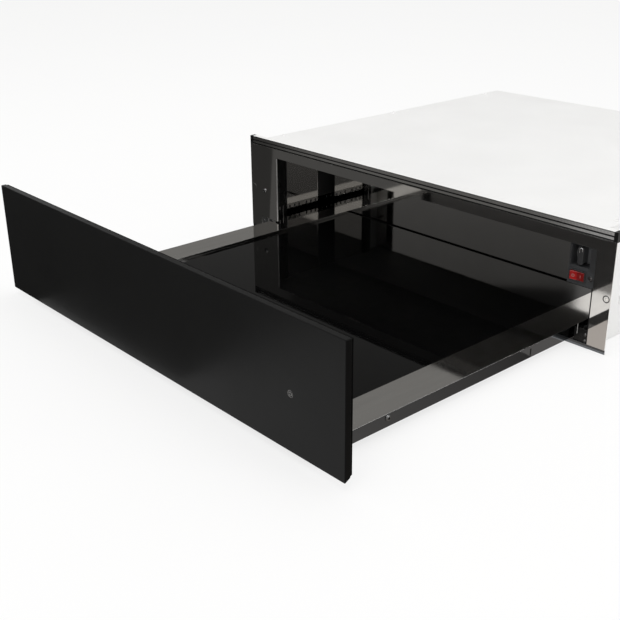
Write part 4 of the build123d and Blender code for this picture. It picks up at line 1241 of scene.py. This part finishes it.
stageLook = {
    "floorSize": 32.0,
    "floorColour": (0.93, 0.93, 0.925),
    "floorDarker": 0.985,                  # its second colour as a share of the first
    "floorMottle": 3.0,
    "floorRoughness": 0.9,
    "floorDrop": 0.0005,                   # floor under the part's lowest point
    "floorLift": 0.74,                     # how far the seen floor is lifted towards white
    "worldLevel": 0.72,
    "cardCentre": (0.0, -0.35, 0.0),
    "cardDistance": 11.0,
    "cardLift": 0.001,                     # floor cards above the floor
}

paleWarm = (1, 0.985, 0.955)
warm = (1, 0.93, 0.87)

# upright cards round the set: turn in degrees clockwise of +Y, lift in degrees above the floor
uprightCards = {
    "cardLeft": {"turn": (-129.2, -92.0), "lift": (0, 72), "tone": 0.085},
    "cardFrontLeft": {"turn": (-148.2, -129.2), "lift": (0, 21.8), "tone": 0.34},
    "cardFrontHigh": {"turn": (-148.2, -129.2), "lift": (21.8, 72), "tone": 0.03},
    "cardBack": {"turn": (-66.0, -28.0), "lift": (8, 40), "tone": 0.185},
    "cardRight": {"turn": (116.0, 141.0), "lift": (0, 34), "tone": 0.22},
}

# flat cards on the floor; floorRight is darker at its back, a painted shadow of the drawer seen in the
# steel, and has another tone at its front end
slantedEdge = ((0.27, -0.325), (0.2624, -0.327), (0.2548, -0.341))
floorCards = {
    "floorFar": {
        "outline": ((-0.262, -0.268), (-0.76, -0.69), (-1.9, -0.69), (-1.9, -0.268)), "tone": 0.028},
    "floorNear": {
        "outline": ((-0.262, -0.268), (-0.25, -0.66), (0.04, -0.66), (0.04, -1.25), (-0.76, -1.25),
                    (-0.76, -0.69)), "tone": 0.07},
    "floorFront": {
        "outline": ((-0.76, -0.69), (-0.76, -1.25), (-2.6, -1.9), (-2.6, -0.69)), "tone": 0.045},
    "floorRightNear": {
        "outline": ((0.24, -0.269), (0.24, -0.36), *reversed(slantedEdge), (1.1, -0.325), (1.1, -0.269)),
        "tone": 0.44, "tint": warm},
    "floorRight": {
        "outline": ((0.24, -0.36), (0.24, -0.64), (1.1, -0.64), (1.1, -0.325), *slantedEdge),
        "tone": 0.14, "frontTone": 0.44, "tint": warm},
}


def flatSheet(name, corners, material):
    # one flat face
    mesh = bpy.data.meshes.new(name)
    mesh.from_pydata([Vector(corner) for corner in corners], [], [tuple(range(len(corners)))])
    mesh.materials.append(material)
    sheet = bpy.data.objects.new(name, mesh)
    scene.collection.objects.link(sheet)
    return sheet


def cardMaterial(name, look, back, front):
    # an evenly toned studio card, or one that changes along its length towards the front
    material = bpy.data.materials.new(name)
    material.use_nodes = True
    tree = material.node_tree
    tree.nodes.clear()
    output = tree.nodes.new("ShaderNodeOutputMaterial")
    parts = tree.nodes.new("ShaderNodeSeparateXYZ")
    tree.links.new(objectPlace(tree), parts.inputs["Vector"])
    share = spread(tree, parts.outputs["Y"], 0, 1, back, front)
    tint = look.get("tint", paleWarm)
    tones = (look["tone"], look.get("frontTone", look["tone"]))
    colour = blendColours(tree, share, *([tone * level for level in tint] for tone in tones))
    glow = addNode(tree, "ShaderNodeEmission", Strength=1.0)
    tree.links.new(colour, glow.inputs["Color"])
    tree.links.new(glow.outputs["Emission"], output.inputs["Surface"])
    return material


def addCard(name, corners, look):
    # seen only in reflections
    ys = [corner[1] for corner in corners]
    card = flatSheet(name, corners, cardMaterial(name, look, max(ys), min(ys)))
    card.visible_camera = False
    card.visible_diffuse = False
    card.visible_shadow = False


def makeUprightCard(name, look):
    centre = Vector(stageLook["cardCentre"])
    start, end = look["turn"]
    low, high = look["lift"]
    corners = []
    for degrees, lift in ((start, low), (end, low), (end, high), (start, high)):
        turn = math.radians(degrees)
        away = Vector((math.sin(turn), math.cos(turn), math.tan(math.radians(lift))))
        corners.append(centre + away * stageLook["cardDistance"])
    addCard(name, corners, look)


def seenRays(tree):
    # 1 for the rays that show a background: the camera's, and those in metal and glass
    rays = tree.nodes.new("ShaderNodeLightPath")
    seen = rays.outputs["Is Camera Ray"]
    for label in ("Is Glossy Ray", "Is Transmission Ray"):
        either = tree.nodes.new("ShaderNodeMath")
        either.operation = "MAXIMUM"
        tree.links.new(seen, either.inputs[0])
        tree.links.new(rays.outputs[label], either.inputs[1])
        seen = either.outputs[0]
    return seen


def floorMaterial(look):
    # matt and faintly mottled, and lifted towards white where it is only seen
    material = bpy.data.materials.new("floorWhite")
    material.use_nodes = True
    tree = material.node_tree
    shader = tree.nodes["Principled BSDF"]
    shader.inputs["Roughness"].default_value = look["floorRoughness"]
    shader.inputs["Specular IOR Level"].default_value = 0.0
    mottle = noiseOf(tree, objectPlace(tree), look["floorMottle"])
    darker = tuple(level * look["floorDarker"] for level in look["floorColour"])
    colour = blendColours(tree, spread(tree, mottle, 0, 1), look["floorColour"], darker)
    tree.links.new(colour, shader.inputs["Base Color"])
    lift = addNode(tree, "ShaderNodeEmission", Color=(1, 1, 1, 1), Strength=1.0)
    share = tree.nodes.new("ShaderNodeMath")
    share.operation = "MULTIPLY"
    share.inputs[1].default_value = look["floorLift"]
    tree.links.new(seenRays(tree), share.inputs[0])
    mix = tree.nodes.new("ShaderNodeMixShader")
    tree.links.new(share.outputs[0], mix.inputs["Fac"])
    tree.links.new(shader.outputs[0], mix.inputs[1])
    tree.links.new(lift.outputs[0], mix.inputs[2])
    tree.links.new(mix.outputs[0], tree.nodes["Material Output"].inputs["Surface"])
    return material


def makeFloor(look):
    half = look["floorSize"] / 2
    corners = ((-half, -half, 0), (half, -half, 0), (half, half, 0), (-half, half, 0))
    floor = flatSheet("floor", corners, floorMaterial(look))
    floor.location.z = cadBounds[0].z - look["floorDrop"]


def makeWorld(level):
    world = bpy.data.worlds.new("softStudio")
    scene.world = world
    world.use_nodes = True
    tree = world.node_tree
    tree.nodes.clear()
    output = tree.nodes.new("ShaderNodeOutputWorld")
    seen = addNode(tree, "ShaderNodeBackground", Color=(1, 1, 1, 1), Strength=1.0)
    lit = addNode(tree, "ShaderNodeBackground", Color=(1, 0.995, 0.985, 1), Strength=level)
    mix = tree.nodes.new("ShaderNodeMixShader")
    tree.links.new(seenRays(tree), mix.inputs["Fac"])
    tree.links.new(lit.outputs[0], mix.inputs[1])
    tree.links.new(seen.outputs[0], mix.inputs[2])
    tree.links.new(mix.outputs[0], output.inputs["Surface"])


lamps = {
    "overhead": {"place": (-0.2, -0.4, 2.4), "target": (0, -0.2, 0), "size": 2.2, "power": 18},
    "rightFill": {"place": (2.8, 0.5, 1.1), "target": (0.27, 0, 0.07), "size": 1.2, "power": 12},
    "frontSide": {"place": (0.9, -3.0, 2.4), "target": (0, -0.3, 0.05), "size": 1.4, "power": 16},
}


def addLamp(name, look):
    light = bpy.data.lights.new(name, "AREA")
    light.shape = "RECTANGLE"
    light.size = look["size"]
    light.size_y = look["size"]
    light.energy = look["power"]
    lamp = bpy.data.objects.new(name, light)
    scene.collection.objects.link(lamp)
    lamp.location = look["place"]
    ahead = Vector(look["target"]) - Vector(look["place"])
    lamp.rotation_euler = ahead.to_track_quat("-Z", "Y").to_euler()


cameraView = {
    "place": (0.7872, -1.1154, 0.4532),
    "yaw": 48.51,        # degrees to the left of +Y
    "pitch": 23.163,     # degrees down
    "roll": -0.463,
    "focal": 56.49,      # millimetres
    "sensor": 36,
    "nearest": 0.01,     # metres
}


def makeCamera(view):
    yaw, pitch, roll = (math.radians(view[k]) for k in ("yaw", "pitch", "roll"))
    ahead = Vector((-math.sin(yaw) * math.cos(pitch), math.cos(yaw) * math.cos(pitch), -math.sin(pitch)))
    right = Vector((math.cos(yaw), math.sin(yaw), 0))
    up = right.cross(ahead)
    rolledRight = right * math.cos(roll) + up * math.sin(roll)
    rolledUp = up * math.cos(roll) - right * math.sin(roll)
    data = bpy.data.cameras.new("photoView")
    data.sensor_width = view["sensor"]
    data.lens = view["focal"]
    data.clip_start = view["nearest"]
    camera = bpy.data.objects.new("photoView", data)
    scene.collection.objects.link(camera)
    turn = Matrix((rolledRight, rolledUp, -ahead)).transposed().to_4x4()
    camera.matrix_world = Matrix.Translation(view["place"]) @ turn
    scene.camera = camera


makeFloor(stageLook)
makeWorld(stageLook["worldLevel"])
for name, look in uprightCards.items():
    makeUprightCard(name, look)
for name, look in floorCards.items():
    addCard(name, [(*point, stageLook["cardLift"]) for point in look["outline"]], look)
for name, look in lamps.items():
    addLamp(name, look)
makeCamera(cameraView)
scene.view_settings.view_transform = "Standard"
print("stage, lamps and camera placed")
